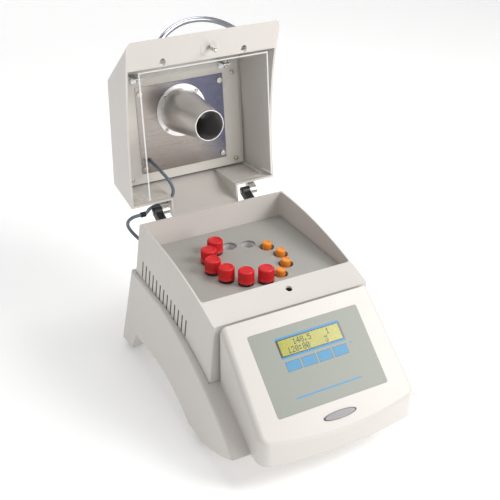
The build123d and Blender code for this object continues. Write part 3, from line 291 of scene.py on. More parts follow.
def grainedMetal(name, light, dark, roughness, stretch, scale=60, strength=0.03):
    finish = Finish(name)
    streaks = finish.noise(scale, 4, 0.6, finish.turned(scale=stretch))
    finish.put(Base_Color=finish.mix(streaks, light, dark), Metallic=1.0,
               Roughness=roughness + 0.18 * (streaks - 0.5))
    finish.bump(streaks, strength, 0.1 * mm)
    return finish


def smokyMetal(name, light, dark, roughness):
    finish = Finish(name)
    cloud = finish.noise(40, 3)
    finish.put(Base_Color=finish.mix(cloud, light, dark), Metallic=1.0,
               Roughness=roughness + 0.1 * (cloud - 0.5))
    finish.bump(finish.noise(900, 2), 0.02, 0.1 * mm)
    return finish


def housingPlastic():
    return mouldedPlastic("housingPlastic", rgb(222, 217, 212), rgb(215, 210, 204), 0.36, 0.045)


def trayPlastic():
    return mouldedPlastic("trayPlastic", rgb(178, 177, 172), rgb(170, 169, 164), 0.36, 0.05)


def linerPlastic():
    return mouldedPlastic("linerPlastic", rgb(226, 222, 214), rgb(219, 215, 207), 0.4, 0.03)


def capPlastic(name, light, dark):
    return mouldedPlastic(name, light, dark, 0.34, 0.05)


def platePolish():
    finish = Finish("platePolish")
    shutUp = lidOpen.to_3x3() @ Vector((0, 1, 0))
    plate = middle("fan_plate")
    across = finish.along((1, 0, 0), plate) / 0.071
    upward = finish.along(shutUp * -1, plate) / 0.0665  # 1 at the handle end
    cloud = finish.noise(11, 2)
    streaks = finish.noise(34, 4, 0.6, finish.turned(scale=(1, 12, 12)))
    # painted reflection: the plate's colour runs from warm brown to dark blue towards the right and the
    # handle end, standing in for the dark studio it mirrors; the streaks are its grain
    paintedReflection = finish.node("ShaderNodeValToRGB", {"stops": [(0.32, (0, 0, 0, 1)), (0.62, (1, 1, 1, 1))]},
                       {"Fac": 0.4 + 0.28 * across + 0.2 * upward + 0.35 * (cloud - 0.5)})
    warmReflection = finish.mix(streaks, (0.36, 0.325, 0.3, 1), (0.25, 0.225, 0.205, 1))
    darkReflection = finish.mix(streaks, (0.075, 0.08, 0.12, 1), (0.12, 0.12, 0.16, 1))
    finish.put(Base_Color=finish.mix(paintedReflection, warmReflection, darkReflection), Metallic=1.0, Roughness=0.2 + 0.12 * streaks)
    finish.bump(streaks, 0.04, 0.1 * mm)
    return finish


def conePolish():
    finish = Finish("conePolish")
    cone = middle("air_cone")
    across = finish.along(lidOpen.to_3x3() @ Vector((0, 0, 1)), cone)
    rings = finish.noise(1.0, 3, 0.6, finish.node("ShaderNodeCombineXYZ", None, {"X": across * 900}))
    cloud = finish.noise(22, 3)
    finish.put(Base_Color=finish.mix(cloud, (0.9, 0.88, 0.86, 1), (0.68, 0.67, 0.67, 1)),
               Metallic=0.78 + 0.1 * cloud,
               Roughness=0.24 + 0.14 * rings)
    finish.bump(rings, 0.03, 0.1 * mm)
    return finish


def chrome():
    return smokyMetal("chrome", (0.5, 0.52, 0.56, 1), (0.4, 0.42, 0.47, 1), 0.12)


def nickel():
    return smokyMetal("nickel", (0.66, 0.65, 0.62, 1), (0.52, 0.51, 0.49, 1), 0.28)


def zincScrew():
    return smokyMetal("zincScrew", (0.7, 0.67, 0.6, 1), (0.5, 0.47, 0.42, 1), 0.25)


def blockAluminium():
    finish = grainedMetal("blockAluminium", (0.95, 0.95, 0.96, 1), (0.86, 0.87, 0.88, 1), 0.35, (1, 1, 12),
                          80)
    return finish.put(Metallic=0.35)


def plainSteel():
    return grainedMetal("plainSteel", (0.56, 0.56, 0.57, 1), (0.42, 0.42, 0.44, 1), 0.32, (1, 10, 10), 50)


def softRubber():
    return mouldedPlastic("softRubber", rgb(34, 34, 35), rgb(24, 24, 25), 0.62, 0.12)


def blackPlastic():
    return mouldedPlastic("blackPlastic", rgb(28, 28, 30), rgb(20, 20, 22), 0.38, 0.06)


def leadJacket():
    return mouldedPlastic("leadJacket", rgb(112, 124, 138), rgb(98, 110, 124), 0.42, 0.04)


def clearSheet():  # nearly clear faces, with a painted highlight where a free edge is cut: those bands are milky white and nearly opaque
    finish = Finish("clearSheet")
    notchTop, rearEdge, skirtRear = 1.2 * mm, -20.9 * mm, -29.9 * mm
    lidUp = finish.along(lidOpen.to_3x3() @ Vector((0, 0, 1)), hinge)  # height over the hinge when shut
    lidBack = finish.along(lidOpen.to_3x3() @ Vector((0, 1, 0)), hinge)
    # painted highlight: bands by the cut edges, found from the lid's shut height and depth
    edgeHighlight = (lidUp < -26.5 * mm).larger(lidBack > rearEdge).larger((lidBack > skirtRear) * (lidUp < notchTop))
    haze = finish.noise(14, 2)
    finish.put(Base_Color=finish.mix(edgeHighlight, finish.mix(haze, (0.86, 0.88, 0.87, 1), (0.8, 0.82, 0.81, 1)),
                                     (0.93, 0.94, 0.93, 1)),
               Roughness=0.06 + 0.05 * haze, Alpha=0.075 + 0.03 * haze + 0.62 * edgeHighlight)
    return finish


def tubeGlass():
    finish = Finish("tubeGlass")
    haze = finish.noise(30, 2)
    finish.put(Base_Color=finish.mix(haze, (0.95, 0.97, 0.96, 1), (0.9, 0.93, 0.92, 1)),
               Roughness=0.02 + 0.03 * haze)
    finish.put(**{"Transmission_Weight": 1.0, "IOR": 1.47})
    return finish


def insulationWool():
    finish = Finish("insulationWool")
    fibres = finish.noise(220, 5, 0.7, finish.turned(scale=(1, 1, 5)))
    finish.put(Base_Color=finish.mix(fibres, rgb(226, 216, 188), rgb(188, 174, 140)), Roughness=0.9)
    finish.bump(fibres, 0.6, 0.8 * mm)
    return finish


def circuitBoard():
    finish = Finish("circuitBoard")
    tracks = finish.node("ShaderNodeTexBrick", None, {"Vector": finish.place, "Scale": 90.0}, out="Fac")
    finish.put(Base_Color=finish.mix(tracks, rgb(24, 84, 52), rgb(44, 112, 70)), Roughness=0.4 + 0.1 * tracks)
    finish.bump(tracks, 0.15, 0.1 * mm)
    return finish


def labelFilm():
    finish = Finish("labelFilm")
    right = finish.along((1, 0, 0), panelMiddle)
    up = finish.along(panelUp, panelMiddle)
    design = {"lineHalf": 49 * mm, "lineUp": -38 * mm, "lineThick": 1.7 * mm, "barHalf": 48.5 * mm,
              "barTop": 41.4 * mm, "barBottom": 15.2 * mm, "barThick": 2.3 * mm,
              "dotRight": 53.6 * mm, "dotUp": 9.6 * mm, "dotSize": 1.2 * mm}

    def bar(half, height, thickness):
        return (right.size() < half) * ((up - height).size() < thickness / 2)

    dotAcross = (right - design["dotRight"]).size() < design["dotSize"]
    dot = dotAcross * ((up - design["dotUp"]).size() < design["dotSize"])
    printed = (bar(design["lineHalf"], design["lineUp"], design["lineThick"])
              + bar(design["barHalf"], design["barTop"], design["barThick"])
              + bar(design["barHalf"], design["barBottom"], design["barThick"]) + dot)
    speckle = finish.noise(700, 2)
    ground = finish.mix(speckle, rgb(158, 161, 152), rgb(150, 154, 145))
    finish.put(Base_Color=finish.mix(printed, ground, rgb(46, 150, 205)),
               Roughness=0.42 + 0.1 * (speckle - 0.5))
    finish.bump(finish.noise(2600, 1), 0.04, 0.1 * mm)
    return finish


def keyFilm():
    finish = Finish("keyFilm")
    up = finish.along(panelUp, panelMiddle)
    hatch = up.wave(1.05 * mm) > 0.62
    finish.put(Base_Color=finish.mix(hatch, rgb(40, 132, 188), rgb(116, 172, 196)),
               Roughness=0.4 + 0.06 * hatch)
    finish.bump(finish.noise(2600, 1), 0.04, 0.1 * mm)
    return finish


def displayGlass():
    finish = Finish("displayGlass")
    size = {"halfWidth": 45.2 * mm, "halfHeight": 10.3 * mm, "up": 28.25 * mm, "line": 1.0 * mm}
    right = finish.along((1, 0, 0), panelMiddle)
    up = finish.along(panelUp, panelMiddle) - size["up"]
    frameMask = (right.size() > size["halfWidth"]).larger(up.size() > size["halfHeight"])
    glow = finish.noise(30, 2)
    lit = finish.mix(glow, rgb(172, 168, 30), rgb(158, 156, 24))
    cells = (right.wave(0.8 * mm) < 0.12).larger(up.wave(0.8 * mm) < 0.12)
    lit = finish.mix(cells * 0.12, lit, rgb(90, 92, 12))
    finish.put(Base_Color=finish.mix(frameMask, lit, rgb(34, 32, 30)), Roughness=0.16 + 0.1 * glow)
    return finish


def displayInk():
    finish = Finish("displayInk")
    finish.put(Base_Color=finish.mix(finish.noise(300, 1), rgb(22, 24, 8), rgb(34, 36, 12)), Roughness=0.3)
    return finish


def badgeMetal():
    finish = Finish("badgeMetal")
    right = finish.along((1, 0, 0), panelMiddle)
    up = finish.along(panelUp, panelMiddle) + 74 * mm
    reach = (right / (24.5 * mm)) * (right / (24.5 * mm)) + (up / (5.2 * mm)) * (up / (5.2 * mm))
    border = reach > 0.82
    streaks = finish.noise(60, 3, 0.6, finish.turned(scale=(1, 10, 10)))
    field = finish.mix(streaks, (0.3, 0.29, 0.3, 1), (0.22, 0.21, 0.22, 1))
    finish.put(Base_Color=finish.mix(border, field, (0.07, 0.055, 0.06, 1)), Metallic=0.5,
               Roughness=0.42 + 0.12 * streaks)
    finish.bump(streaks + 2.0 * border, 0.1, 0.1 * mm)
    return finish


def dressNodes(table):
    for finish, names in table:
        for name in names:
            nodes[name].data.materials.clear()
            nodes[name].data.materials.append(finish.material)


housing, tray, liner = housingPlastic(), trayPlastic(), linerPlastic()
rubber, black, screwZinc, steel = softRubber(), blackPlastic(), zincScrew(), plainSteel()
nickelMetal, clear, glass, board = nickel(), clearSheet(), tubeGlass(), circuitBoard()
redCap = capPlastic("redCap", rgb(228, 36, 40), rgb(212, 26, 32))
orangeCap = capPlastic("orangeCap", rgb(255, 164, 58), rgb(250, 152, 46))
blue = leadJacket()
for lead in (lidLead, housingLead):
    lead.data.materials.append(blue.material)

dressNodes([
    (housing, ["upper_housing", "base_shell", "panel_housing", "lid_shell"]),
    (tray, ["tray_plate"]),
    (liner, ["lid_liner"]),
    (labelFilm(), ["panel_label"]),
    (keyFilm(), ["key_1", "key_2", "key_3", "key_4"]),
    (displayGlass(), ["display_window"]),
    (badgeMetal(), ["badge"]),
    (board, ["key_board", "main_board"]),
    (blockAluminium(), ["heating_block"]),
    (steel, ["heater_ring", "temperature_sensor", "block_carrier", "power_supply", "guard_brackets"]),
    (insulationWool(), ["insulation_jacket"]),
    (rubber, ["feet", "lead_grommet"]),
    (black, ["display_module", "vial_sleeves", "mains_inlet", "switch_body", "switch_rocker", "fuse_holder",
             "fan_frame", "fan_rotor", "hinge_base_leaves"]),
    (screwZinc, ["foot_screws", "cone_rivets", "lid_screws", "handle_screws", "block_standoffs",
                 "hinge_pins"]),
    (nickelMetal, ["hinge_lid_leaves", "latch_pin", "lid_lock"]),
    (platePolish(), ["fan_plate"]),
    (conePolish(), ["air_cone"]),
    (clear, ["clear_guard"]),
    (chrome(), ["handle"]),
    (redCap, [f"reaction_tube_{i}" for i in range(1, 7)]),
    (orangeCap, [f"vial_{i}" for i in range(1, 5)]),
])
print("nodes dressed")


# Mesh helpers
def addPiece(name, mesh, finish, body, stands=()):
    piece = bpy.data.objects.new(name, mesh)
    bpy.context.scene.collection.objects.link(piece)
    if finish is not None and not mesh.materials:
        mesh.materials.append(finish.material)
    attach(piece, body)
    if stands:
        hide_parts(*stands)
    return piece


def turnedMesh(name, profile, place, steps=48):  # profile: radius and height, pole to pole
    shape = bmesh.new()
    rings = []
    for radius, height in profile:
        if radius < 1e-9:
            rings.append([shape.verts.new((0, 0, height))])
        else:
            rings.append([shape.verts.new((radius * math.cos(math.tau * i / steps),
                                           radius * math.sin(math.tau * i / steps),
                                           height)) for i in range(steps)])
    for low, high in zip(rings, rings[1:]):
        for i in range(steps):
            corners = [low[i % len(low)], low[(i + 1) % len(low)], high[(i + 1) % len(high)],
                       high[i % len(high)]]
            unique = list(dict.fromkeys(corners))
            if len(unique) > 2:
                shape.faces.new(unique)
    bmesh.ops.recalc_face_normals(shape, faces=shape.faces)
    mesh = bpy.data.meshes.new(name)
    shape.to_mesh(mesh)
    shape.free()
    mesh.transform(place)
    mesh.shade_smooth()
    mesh.set_sharp_from_angle(angle=math.radians(38))
    return mesh


def pointMesh(name, points):
    mesh = bpy.data.meshes.new(name)
    mesh.from_pydata([tuple(point) for point in points], [], [])
    return mesh


def facing(direction, place):  # a place whose z looks along direction
    turn = Vector(direction).to_track_quat("Z", "Y").to_matrix().to_4x4()
    return Matrix.Translation(place) @ turn


# Geometry Nodes
class Tree:
    def __init__(self, name, inputs):
        self.tree = bpy.data.node_groups.new(name, "GeometryNodeTree")
        self.tree.is_modifier = True
        self.ids = {}
        self.tree.interface.new_socket("Geometry", in_out="INPUT", socket_type="NodeSocketGeometry")
        for label, (kind, value) in inputs.items():
            socket = self.tree.interface.new_socket(label, in_out="INPUT", socket_type="NodeSocket" + kind)
            if value is not None:
                socket.default_value = value
            self.ids[label] = socket.identifier
        self.tree.interface.new_socket("Geometry", in_out="OUTPUT", socket_type="NodeSocketGeometry")
        self.entry = self.tree.nodes.new("NodeGroupInput")

    def given(self, label):
        return self.entry.outputs[label]

    def add(self, kind, settings=None, sockets=None):
        made = self.tree.nodes.new(kind)
        for name, value in (settings or {}).items():
            setattr(made, name, value)
        for name, value in (sockets or {}).items():
            if isinstance(value, bpy.types.NodeSocket):
                self.tree.links.new(value, made.inputs[name])
            else:
                made.inputs[name].default_value = value
        return made

    def finishWith(self, instances):
        real = self.add("GeometryNodeRealizeInstances", None, {"Geometry": instances})
        painted = self.add("GeometryNodeSetMaterial", None,
                           {"Geometry": real.outputs[0], "Material": self.given("Material")})
        out = self.tree.nodes.new("NodeGroupOutput")
        self.tree.links.new(painted.outputs[0], out.inputs[0])

    def bake(self, name, start, values, smooth=True):  # a plain mesh from the tree
        carrier = bpy.data.objects.new(name + "Carrier", start)
        bpy.context.scene.collection.objects.link(carrier)
        modifier = carrier.modifiers.new("nodes", "NODES")
        modifier.node_group = self.tree
        for label, value in values.items():
            modifier[self.ids[label]] = value
        bpy.context.view_layer.update()
        made = bpy.data.meshes.new_from_object(carrier.evaluated_get(bpy.context.evaluated_depsgraph_get()))
        bpy.data.objects.remove(carrier)
        made.name = name
        if smooth:
            made.shade_smooth()
            made.set_sharp_from_angle(angle=math.radians(40))
        return made


def ribTree():  # upright ribs in a ring round z, kept at the caps' own place
    tree = Tree("capRibs", {"Centre": ("Vector", None), "Ring Radius": ("Float", 0.011),
                            "Rib Radius": ("Float", 0.0005),
                            "Rib Height": ("Float", 0.011), "Rib Count": ("Int", 36),
                            "Material": ("Material", None)})
    ring = tree.add("GeometryNodeMeshCircle", None, {"Vertices": tree.given("Rib Count"),
                                                     "Radius": tree.given("Ring Radius")})
    rib = tree.add("GeometryNodeMeshCone", None, {"Vertices": 8, "Radius Top": tree.given("Rib Radius"),
                                                  "Radius Bottom": tree.given("Rib Radius"),
                                                  "Depth": tree.given("Rib Height")})
    stood = tree.add("GeometryNodeInstanceOnPoints", None, {"Points": ring.outputs[0],
                                                            "Instance": rib.outputs[0]})
    moved = tree.add("GeometryNodeTranslateInstances", None, {"Instances": stood.outputs[0],
                                                            "Translation": tree.given("Centre"),
                                                            "Local Space": False})
    tree.finishWith(moved.outputs[0])
    return tree


def headTree(crossed):  # domed heads on points, all facing one way
    tree = Tree("screwHeads" if crossed else "rivetHeads",
                {"Head Radius": ("Float", 0.0038), "Head Height": ("Float", 0.002),
                 "Slot Width": ("Float", 0.0009),
                 "Facing": ("Vector", (0, 0, 1)), "Seed": ("Int", 3), "Material": ("Material", None)})
    ball = tree.add("GeometryNodeMeshUVSphere", None, {"Segments": 28, "Rings": 14, "Radius": 1.0})
    size = tree.add("ShaderNodeCombineXYZ", None, {"X": tree.given("Head Radius"),
                                                   "Y": tree.given("Head Radius"),
                                                   "Z": tree.given("Head Height")})
    dome = tree.add("GeometryNodeTransform", None, {"Geometry": ball.outputs[0],
                                                    "Scale": size.outputs[0]}).outputs[0]
    if crossed:
        reach = tree.add("ShaderNodeMath", {"operation": "MULTIPLY"}, {0: tree.given("Head Radius"), 1: 1.1})
        lift = tree.add("ShaderNodeCombineXYZ", None, {"X": 0.0, "Y": 0.0, "Z": tree.given("Head Height")})
        for x, y in ((reach.outputs[0], tree.given("Slot Width")),
                     (tree.given("Slot Width"), reach.outputs[0])):
            bar = tree.add("ShaderNodeCombineXYZ", None, {"X": x, "Y": y, "Z": tree.given("Head Height")})
            block = tree.add("GeometryNodeMeshCube", None, {"Size": bar.outputs[0]})
            raised = tree.add("GeometryNodeTransform", None, {"Geometry": block.outputs[0],
                                                              "Translation": lift.outputs[0]})
            cut = tree.add("GeometryNodeMeshBoolean", {"operation": "DIFFERENCE"}, {0: dome})
            tree.tree.links.new(raised.outputs[0], cut.inputs[1])
            dome = cut.outputs[0]
    aim = tree.add("FunctionNodeAlignRotationToVector", {"axis": "Z"}, {"Vector": tree.given("Facing")})
    spin = tree.add("FunctionNodeRandomValue", {"data_type": "FLOAT"}, {"Seed": tree.given("Seed")})
    turn = tree.add("ShaderNodeMath", {"operation": "MULTIPLY"}, {0: spin.outputs[1], 1: 3.0})
    axis = tree.add("FunctionNodeAxisAngleToRotation", None, {"Axis": (0, 0, 1), "Angle": turn.outputs[0]})
    both = tree.add("FunctionNodeRotateRotation", {"rotation_space": "LOCAL"},
                    {"Rotation": aim.outputs[0], "Rotate By": axis.outputs[0]})
    stood = tree.add("GeometryNodeInstanceOnPoints", None,
                     {"Points": tree.given("Geometry"), "Instance": dome, "Rotation": both.outputs[0]})
    tree.finishWith(stood.outputs[0])
    return tree


def dotTree():  # small flat squares on points, lying on the panel
    tree = Tree("displayDots", {"Dot Width": ("Float", 0.0007), "Dot Height": ("Float", 0.0008),
                                "Tilt": ("Float", 0.7), "Material": ("Material", None)})
    square = tree.add("GeometryNodeMeshGrid", None, {"Size X": tree.given("Dot Width"),
                                                     "Size Y": tree.given("Dot Height"),
                                                     "Vertices X": 2, "Vertices Y": 2})
    lean = tree.add("FunctionNodeAxisAngleToRotation", None, {"Axis": (1, 0, 0), "Angle": tree.given("Tilt")})
    stood = tree.add("GeometryNodeInstanceOnPoints", None,
                     {"Points": tree.given("Geometry"), "Instance": square.outputs[0],
                      "Rotation": lean.outputs[0]})
    tree.finishWith(stood.outputs[0])
    return tree


ribs, crossHeads, roundHeads, dots = ribTree(), headTree(True), headTree(False), dotTree()
print("node trees built")


# Capped tubes and vials
tubeSizes = {"capRadius": 11.15 * mm, "skirtRadius": 11.7 * mm, "capHeight": 18 * mm, "glassRadius": 10 * mm,
             "ribs": 40, "ribRadius": 0.45 * mm}
vialSizes = {"capRadius": 6.75 * mm, "capHeight": 13.5 * mm, "glassRadius": 6.45 * mm, "ribs": 26,
             "ribRadius": 0.35 * mm}


def cappedGlass(node, body, size, capFinish, skirt):
    low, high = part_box(node)
    x, y, top, floor = (low[0] + high[0]) / 2, (low[1] + high[1]) / 2, high[2], low[2]
    centre = Matrix.Translation((x, y, 0))
    bottom, radius = top - size["capHeight"], size["capRadius"] - size["ribRadius"] * 0.5
    profile = [(0, bottom)]
    if skirt:
        profile += [(skirt - 0.4 * mm, bottom), (skirt, bottom + 0.4 * mm), (skirt, bottom + 2.8 * mm),
                    (skirt - 0.3 * mm, bottom + 3.3 * mm)]
    else:
        profile += [(radius - 0.3 * mm, bottom), (radius, bottom + 0.4 * mm)]
    profile += [(radius, bottom + (4.4 if skirt else 2) * mm), (radius, top - 1.6 * mm),
                (radius - 0.25 * mm, top - 0.8 * mm), (radius - 0.9 * mm, top - 0.2 * mm),
                (radius - 1.6 * mm, top),
                (radius * 0.76, top), (radius * 0.72, top - 0.7 * mm), (radius * 0.2, top - 0.75 * mm),
                (0, top - 0.7 * mm)]
    cap = turnedMesh(node + "Cap", profile, centre, 56)
    ribLow, ribHigh = bottom + (4.6 if skirt else 1.4) * mm, top - 1.5 * mm
    ribMesh = ribs.bake(node + "Ribs", bpy.data.meshes.new("start"), {
        "Centre": (x, y, ribLow), "Ring Radius": radius,
        "Rib Radius": size["ribRadius"], "Rib Height": ribHigh - ribLow, "Rib Count": size["ribs"],
        "Material": capFinish.material})
    addPiece(node + "Cap", cap, capFinish, body, [node])
    addPiece(node + "Ribs", ribMesh, None, body)
    outer, inner, glassTop = size["glassRadius"], size["glassRadius"] - 1.2 * mm, bottom - 0.1 * mm
    bowl = [(outer * math.sin(math.radians(a)),
             floor + outer * (1 - math.cos(math.radians(a)))) for a in range(0, 91, 10)]
    hollow = [(inner * math.sin(math.radians(a)), floor + outer - inner * math.cos(math.radians(a)))
              for a in range(90, -1, -10)]
    glassMesh = turnedMesh(node + "Glass", bowl + [(outer, glassTop), (inner, glassTop)] + hollow, centre, 40)
    addPiece(node + "Glass", glassMesh, glass, body)


for i in range(1, 7):
    cappedGlass(f"reaction_tube_{i}", f"tube_{i}_body", tubeSizes, redCap,
                tubeSizes["skirtRadius"])
for i in range(1, 5):
    cappedGlass(f"vial_{i}", f"vial_{i}_body", vialSizes, orangeCap, None)
print("tubes and vials made")


# Screws and rivets of the lid, latch pin and its boss
lidTurn = lidOpen.to_3x3()
outOfLid = lidTurn @ Vector((0, 0, -1))  # the way the lid's inside looks
latch = {"x": 8 * mm, "y": -92 * mm, "seat": 182.3 * mm, "length": 19 * mm, "radius": 2.8 * mm,
         "bossRadius": 15 * mm, "ledgeZ": 182.44 * mm, "ledgeSlope": 0.31}


def onLid(x, y, z):
    return lidOpen @ (Vector((x, y, z)) * mm)


plateScrews = [onLid(x, y, 276.2) for x in (-65, 65) for y in (-17, 97.5)]
linerScrews = [onLid(x, y, 277.4) for x in (-88, 88) for y in (-26, 112)]
screwSizes = {"Head Radius": 3.8 * mm, "Head Height": 2.0 * mm, "Slot Width": 0.9 * mm,
              "Facing": tuple(outOfLid)}
headMesh = crossHeads.bake("lidScrewHeads", pointMesh("heads", plateScrews + linerScrews),
                           {**screwSizes, "Material": screwZinc.material})
addPiece("lidScrewHeads", headMesh, None, "lid")
tabScrews = crossHeads.bake("guardScrewHeads", pointMesh("tabs", [onLid(x, -48.2, 263) for x in (-71, 71)]),
                            {**screwSizes, "Head Height": 1.4 * mm,
                             "Facing": tuple(lidTurn @ Vector((0, -1, 0))),
                             "Material": screwZinc.material})
addPiece("guardScrewHeads", tabScrews, None, "lid")
rivetPlaces = [onLid(37 * math.cos(a), 18 + 37 * math.sin(a), 275.6)
               for a in (math.radians(45 + 90 * i) for i in range(4))]
rivets = roundHeads.bake("coneRivetHeads", pointMesh("rivets", rivetPlaces),
                         {"Head Radius": 2.7 * mm, "Head Height": 1.5 * mm, "Facing": tuple(outOfLid),
                          "Material": screwZinc.material})
addPiece("coneRivetHeads", rivets, None, "lid")


def makeLatch(size):
    seat = facing(outOfLid, onLid(size["x"] / mm, size["y"] / mm, size["seat"] / mm))
    radius, length = size["radius"], size["length"]
    pin = turnedMesh("latchPin", [
        (0, -6 * mm), (radius, -6 * mm), (radius + 1.6 * mm, -6 * mm), (radius + 1.6 * mm, 2.6 * mm),
        (radius + 1.1 * mm, 3.1 * mm), (radius, 3.1 * mm), (radius, length - 7.4 * mm),
        (radius * 0.68, length - 6.8 * mm),
        (radius * 0.68, length - 4.2 * mm), (radius, length - 3.6 * mm), (radius, length - 1.6 * mm),
        (radius * 0.5, length - 0.1 * mm), (0, length - 0.1 * mm)], seat, 32)
    addPiece("latchPin", pin, nickelMetal, "lid", ["latch_pin"])
    outer = size["bossRadius"]
    ledgeOut = lidTurn @ Vector((0, size["ledgeSlope"], -1))
    seat = facing(ledgeOut, lidOpen @ Vector((size["x"], size["y"], size["ledgeZ"])))
    boss = turnedMesh("latchBoss", [
        (outer, -0.6 * mm), (outer, 0.05 * mm), (outer - 1.5 * mm, 0.3 * mm), (outer - 4 * mm, 0.4 * mm),
        (outer - 5.5 * mm, 0.25 * mm), (outer - 7.5 * mm, -0.15 * mm), (5.4 * mm, -0.35 * mm),
        (4.6 * mm, -0.4 * mm),
        (4.6 * mm, -1.2 * mm), (outer, -1.2 * mm), (outer, -0.6 * mm)], seat, 56)
    addPiece("latchBoss", boss, housing, "lid")


makeLatch(latch)
print("lid fittings made")


# Display characters, numbers only
displaySizes = {"up": 28.25 * mm, "dotX": 0.94 * mm, "dotY": 1.16 * mm, "cell": 5.6 * mm, "rowUp": 4.9 * mm,
                "rows": ("   148.5    1  ", " 120:00    3   ")}
digitDots = {
    "0": "01110100011001110101110011000101110", "1": "00100011000010000100001000010001110",
    "2": "01110100010000100010001000100011111", "3": "11111000100010000010000011000101110",
    "4": "00010001100101010010111110001000010", "5": "11111100001111000001000011000101110",
    "8": "01110100011000101110100011000101110", ".": "00000000000000000000000000110001100",
    ":": "00000011000110000000011000110000000",
}


def displayPoints(size):
    points = []
    for rowIndex, row in enumerate(size["rows"]):
        middleUp = size["up"] + (size["rowUp"] if rowIndex == 0 else -size["rowUp"])
        for column, letter in enumerate(row):
            for i, lit in enumerate(digitDots.get(letter, "")):
                if lit == "1":
                    x = (column - (len(row) - 1) / 2) * size["cell"] + (i % 5 - 2) * size["dotX"]
                    up = middleUp + (3 - i // 5) * size["dotY"]
                    points.append(panelPlace @ Vector((x, up, 0.14 * mm)))
    return points


dotMesh = dots.bake("displayDigits", pointMesh("cells", displayPoints(displaySizes)),
                    {"Dot Width": 0.94 * mm, "Dot Height": 1.16 * mm, "Tilt": panelTilt,
                     "Material": displayInk().material}, smooth=False)
addPiece("displayDigits", dotMesh, None, "base")


# Dark pads sunk into each vent slot, painted shade standing in for the shade inside the slots
ventSizes = {"count": 13, "frontY": -44 * mm, "rearY": 98 * mm, "frontZ": 130 * mm, "rearZ": 147 * mm,
             "padWidth": 3.2 * mm, "padHeight": 25.6 * mm, "padDepth": 2.4 * mm, "outerX": 122.03 * mm,
             "levelZ": 142 * mm, "lean": 0.1088, "flarePerY": 0.0172, "sunk": 0.5 * mm}


def padTree():  # round-ended upright pads on points, tipped with the wall
    tree = Tree("ventPads", {"Pad Width": ("Float", 0.003), "Pad Height": ("Float", 0.025),
                             "Pad Depth": ("Float", 0.002), "Lean": ("Float", 0.1),
                             "Material": ("Material", None)})
    half = tree.add("ShaderNodeMath", {"operation": "MULTIPLY"}, {0: tree.given("Pad Width"), 1: 0.5})
    middleHeight = tree.add("ShaderNodeMath", {"operation": "SUBTRACT"},
                            {0: tree.given("Pad Height"), 1: tree.given("Pad Width")})
    block = tree.add("ShaderNodeCombineXYZ", None, {"X": tree.given("Pad Depth"),
                                                    "Y": tree.given("Pad Width"),
                                                    "Z": middleHeight.outputs[0]})
    bar = tree.add("GeometryNodeMeshCube", None, {"Size": block.outputs[0]})
    rod = tree.add("GeometryNodeMeshCylinder", None, {"Vertices": 16, "Radius": half.outputs[0],
                                                      "Depth": tree.given("Pad Depth")})
    shape = tree.add("GeometryNodeJoinGeometry")
    tree.tree.links.new(bar.outputs[0], shape.inputs[0])
    for direction in (-0.5, 0.5):
        reach = tree.add("ShaderNodeMath", {"operation": "MULTIPLY"},
                         {0: middleHeight.outputs[0], 1: direction})
        shift = tree.add("ShaderNodeCombineXYZ", None, {"X": 0.0, "Y": 0.0, "Z": reach.outputs[0]})
        end = tree.add("GeometryNodeTransform", None, {"Geometry": rod.outputs[0],
                                                       "Translation": shift.outputs[0],
                                                       "Rotation": (0, math.pi / 2, 0)})
        tree.tree.links.new(end.outputs[0], shape.inputs[0])
    tip = tree.add("FunctionNodeAxisAngleToRotation", None, {"Axis": (0, 1, 0), "Angle": tree.given("Lean")})
    stood = tree.add("GeometryNodeInstanceOnPoints", None,
                     {"Points": tree.given("Geometry"), "Instance": shape.outputs[0],
                      "Rotation": tip.outputs[0]})
    tree.finishWith(stood.outputs[0])
    return tree


# dark pads in the slots of one side wall, painted shade
def ventSlotShade(name, side, size, pads, finish):
    places = []
    for i in range(size["count"]):
        share = i / (size["count"] - 1)
        y = size["frontY"] + share * (size["rearY"] - size["frontY"])
        z = size["frontZ"] + share * (size["rearZ"] - size["frontZ"])
        faceX = size["outerX"] + size["flarePerY"] * (y - size["frontY"])
        faceX += size["lean"] * (size["levelZ"] - z)
        places.append((side * (faceX - size["sunk"] - size["padDepth"] / 2), y, z))
    mesh = pads.bake(name, pointMesh(name + "Places", places),
                     {"Pad Width": size["padWidth"], "Pad Height": size["padHeight"],
                      "Pad Depth": size["padDepth"],
                      "Lean": -side * math.atan(size["lean"]), "Material": finish.material}, smooth=False)
    addPiece(name, mesh, None, "base")


ventPads = padTree()
for name, side in (("leftVentSlotShade", -1), ("rightVentSlotShade", 1)):
    ventSlotShade(name, side, ventSizes, ventPads, rubber)
print("vent filters made")


# Sleeve on the lead where it turns with the lid
sleeveSizes = {"radius": 3.9 * mm, "bore": 2.6 * mm, "fromX": -97.5 * mm, "toX": -105.5 * mm}


def leadSleeve(size):
    reach = size["fromX"] - size["toX"]
    place = facing((-1, 0, 0), (size["fromX"], hinge.y, hinge.z))
    r, bore = size["radius"], size["bore"]
    profile = [(bore, 0), (r - 0.6 * mm, 0), (r, 0.6 * mm)]
    for i in range(1, 5):
        at = reach * i / 5
        profile += [(r, at - 0.35 * mm), (r - 0.5 * mm, at), (r, at + 0.35 * mm)]
    profile += [(r, reach - 0.6 * mm), (r - 0.6 * mm, reach), (bore, reach), (bore, 0)]
    addPiece("leadSleeve", turnedMesh("leadSleeve", profile, place, 36), black, "lid")


leadSleeve(sleeveSizes)
print("small pieces made")


# Floor, backdrop and lights
stageSizes = {"halfWidth": 3.0, "front": 3.0, "sunk": 0.2 * mm, "depth": 2.2, "height": 3.0, "curve": 0.6}


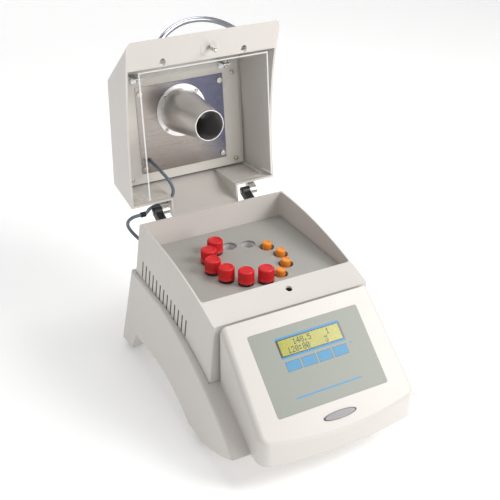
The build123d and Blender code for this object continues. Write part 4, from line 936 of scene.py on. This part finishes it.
def makeStage(size):
    steps, rows = 16, [(-size["front"], 0.0)]
    for i in range(steps + 1):
        angle = math.pi / 2 * i / steps
        rows.append((size["depth"] - size["curve"] + size["curve"] * math.sin(angle),
                     size["curve"] * (1 - math.cos(angle))))
    rows.append((size["depth"], size["height"]))
    mesh = bpy.data.meshes.new("floor")
    points = [(x, y, z - size["sunk"]) for y, z in rows for x in (-size["halfWidth"], size["halfWidth"])]
    faces = [(2 * i, 2 * i + 1, 2 * i + 3, 2 * i + 2) for i in range(len(rows) - 1)]
    mesh.from_pydata(points, [], faces)
    mesh.shade_smooth()
    floor = bpy.data.objects.new("floor", mesh)
    bpy.context.scene.collection.objects.link(floor)
    finish = Finish("floorPaper")
    finish.put(Base_Color=finish.mix(finish.noise(3, 2), (0.97, 0.97, 0.97, 1), (0.95, 0.95, 0.95, 1)),
               Roughness=0.85)
    finish.put(**{"Emission Color": (1, 1, 1, 1), "Emission Strength": 0.2})
    mesh.materials.append(finish.material)


def softLight(name, place, aim, size, power, colour=(1, 1, 1)):
    lamp = bpy.data.lights.new(name, "AREA")
    lamp.shape, lamp.size, lamp.energy, lamp.color = "DISK", size, power, colour
    light = bpy.data.objects.new(name, lamp)
    light.location = place
    light.rotation_mode = "QUATERNION"
    light.rotation_quaternion = (Vector(aim) - Vector(place)).to_track_quat("-Z", "Y")
    bpy.context.scene.collection.objects.link(light)


bpy.context.scene.view_settings.view_transform = "Standard"
makeStage(stageSizes)
softLight("keyLight", (1.15, -1.0, 1.35), (0, 0, 0.15), 0.9, 20, (1.0, 0.985, 0.97))
softLight("topLight", (0.35, 0.45, 1.9), (0, 0.0, 0.2), 1.0, 8)
softLight("frontLight", (0.9, -2.2, 0.55), (0, 0, 0.15), 0.9, 9)
softLight("leftFill", (-1.7, -0.8, 0.9), (0, 0, 0.2), 0.8, 1.5, (0.95, 0.97, 1.0))
world = bpy.data.worlds.new("room")
bpy.context.scene.world = world
world.use_nodes = True
world.node_tree.nodes["Background"].inputs["Color"].default_value = (1, 1, 1, 1)
world.node_tree.nodes["Background"].inputs["Strength"].default_value = 0.42
print("stage and lights set")

bpy.context.view_layer.update()
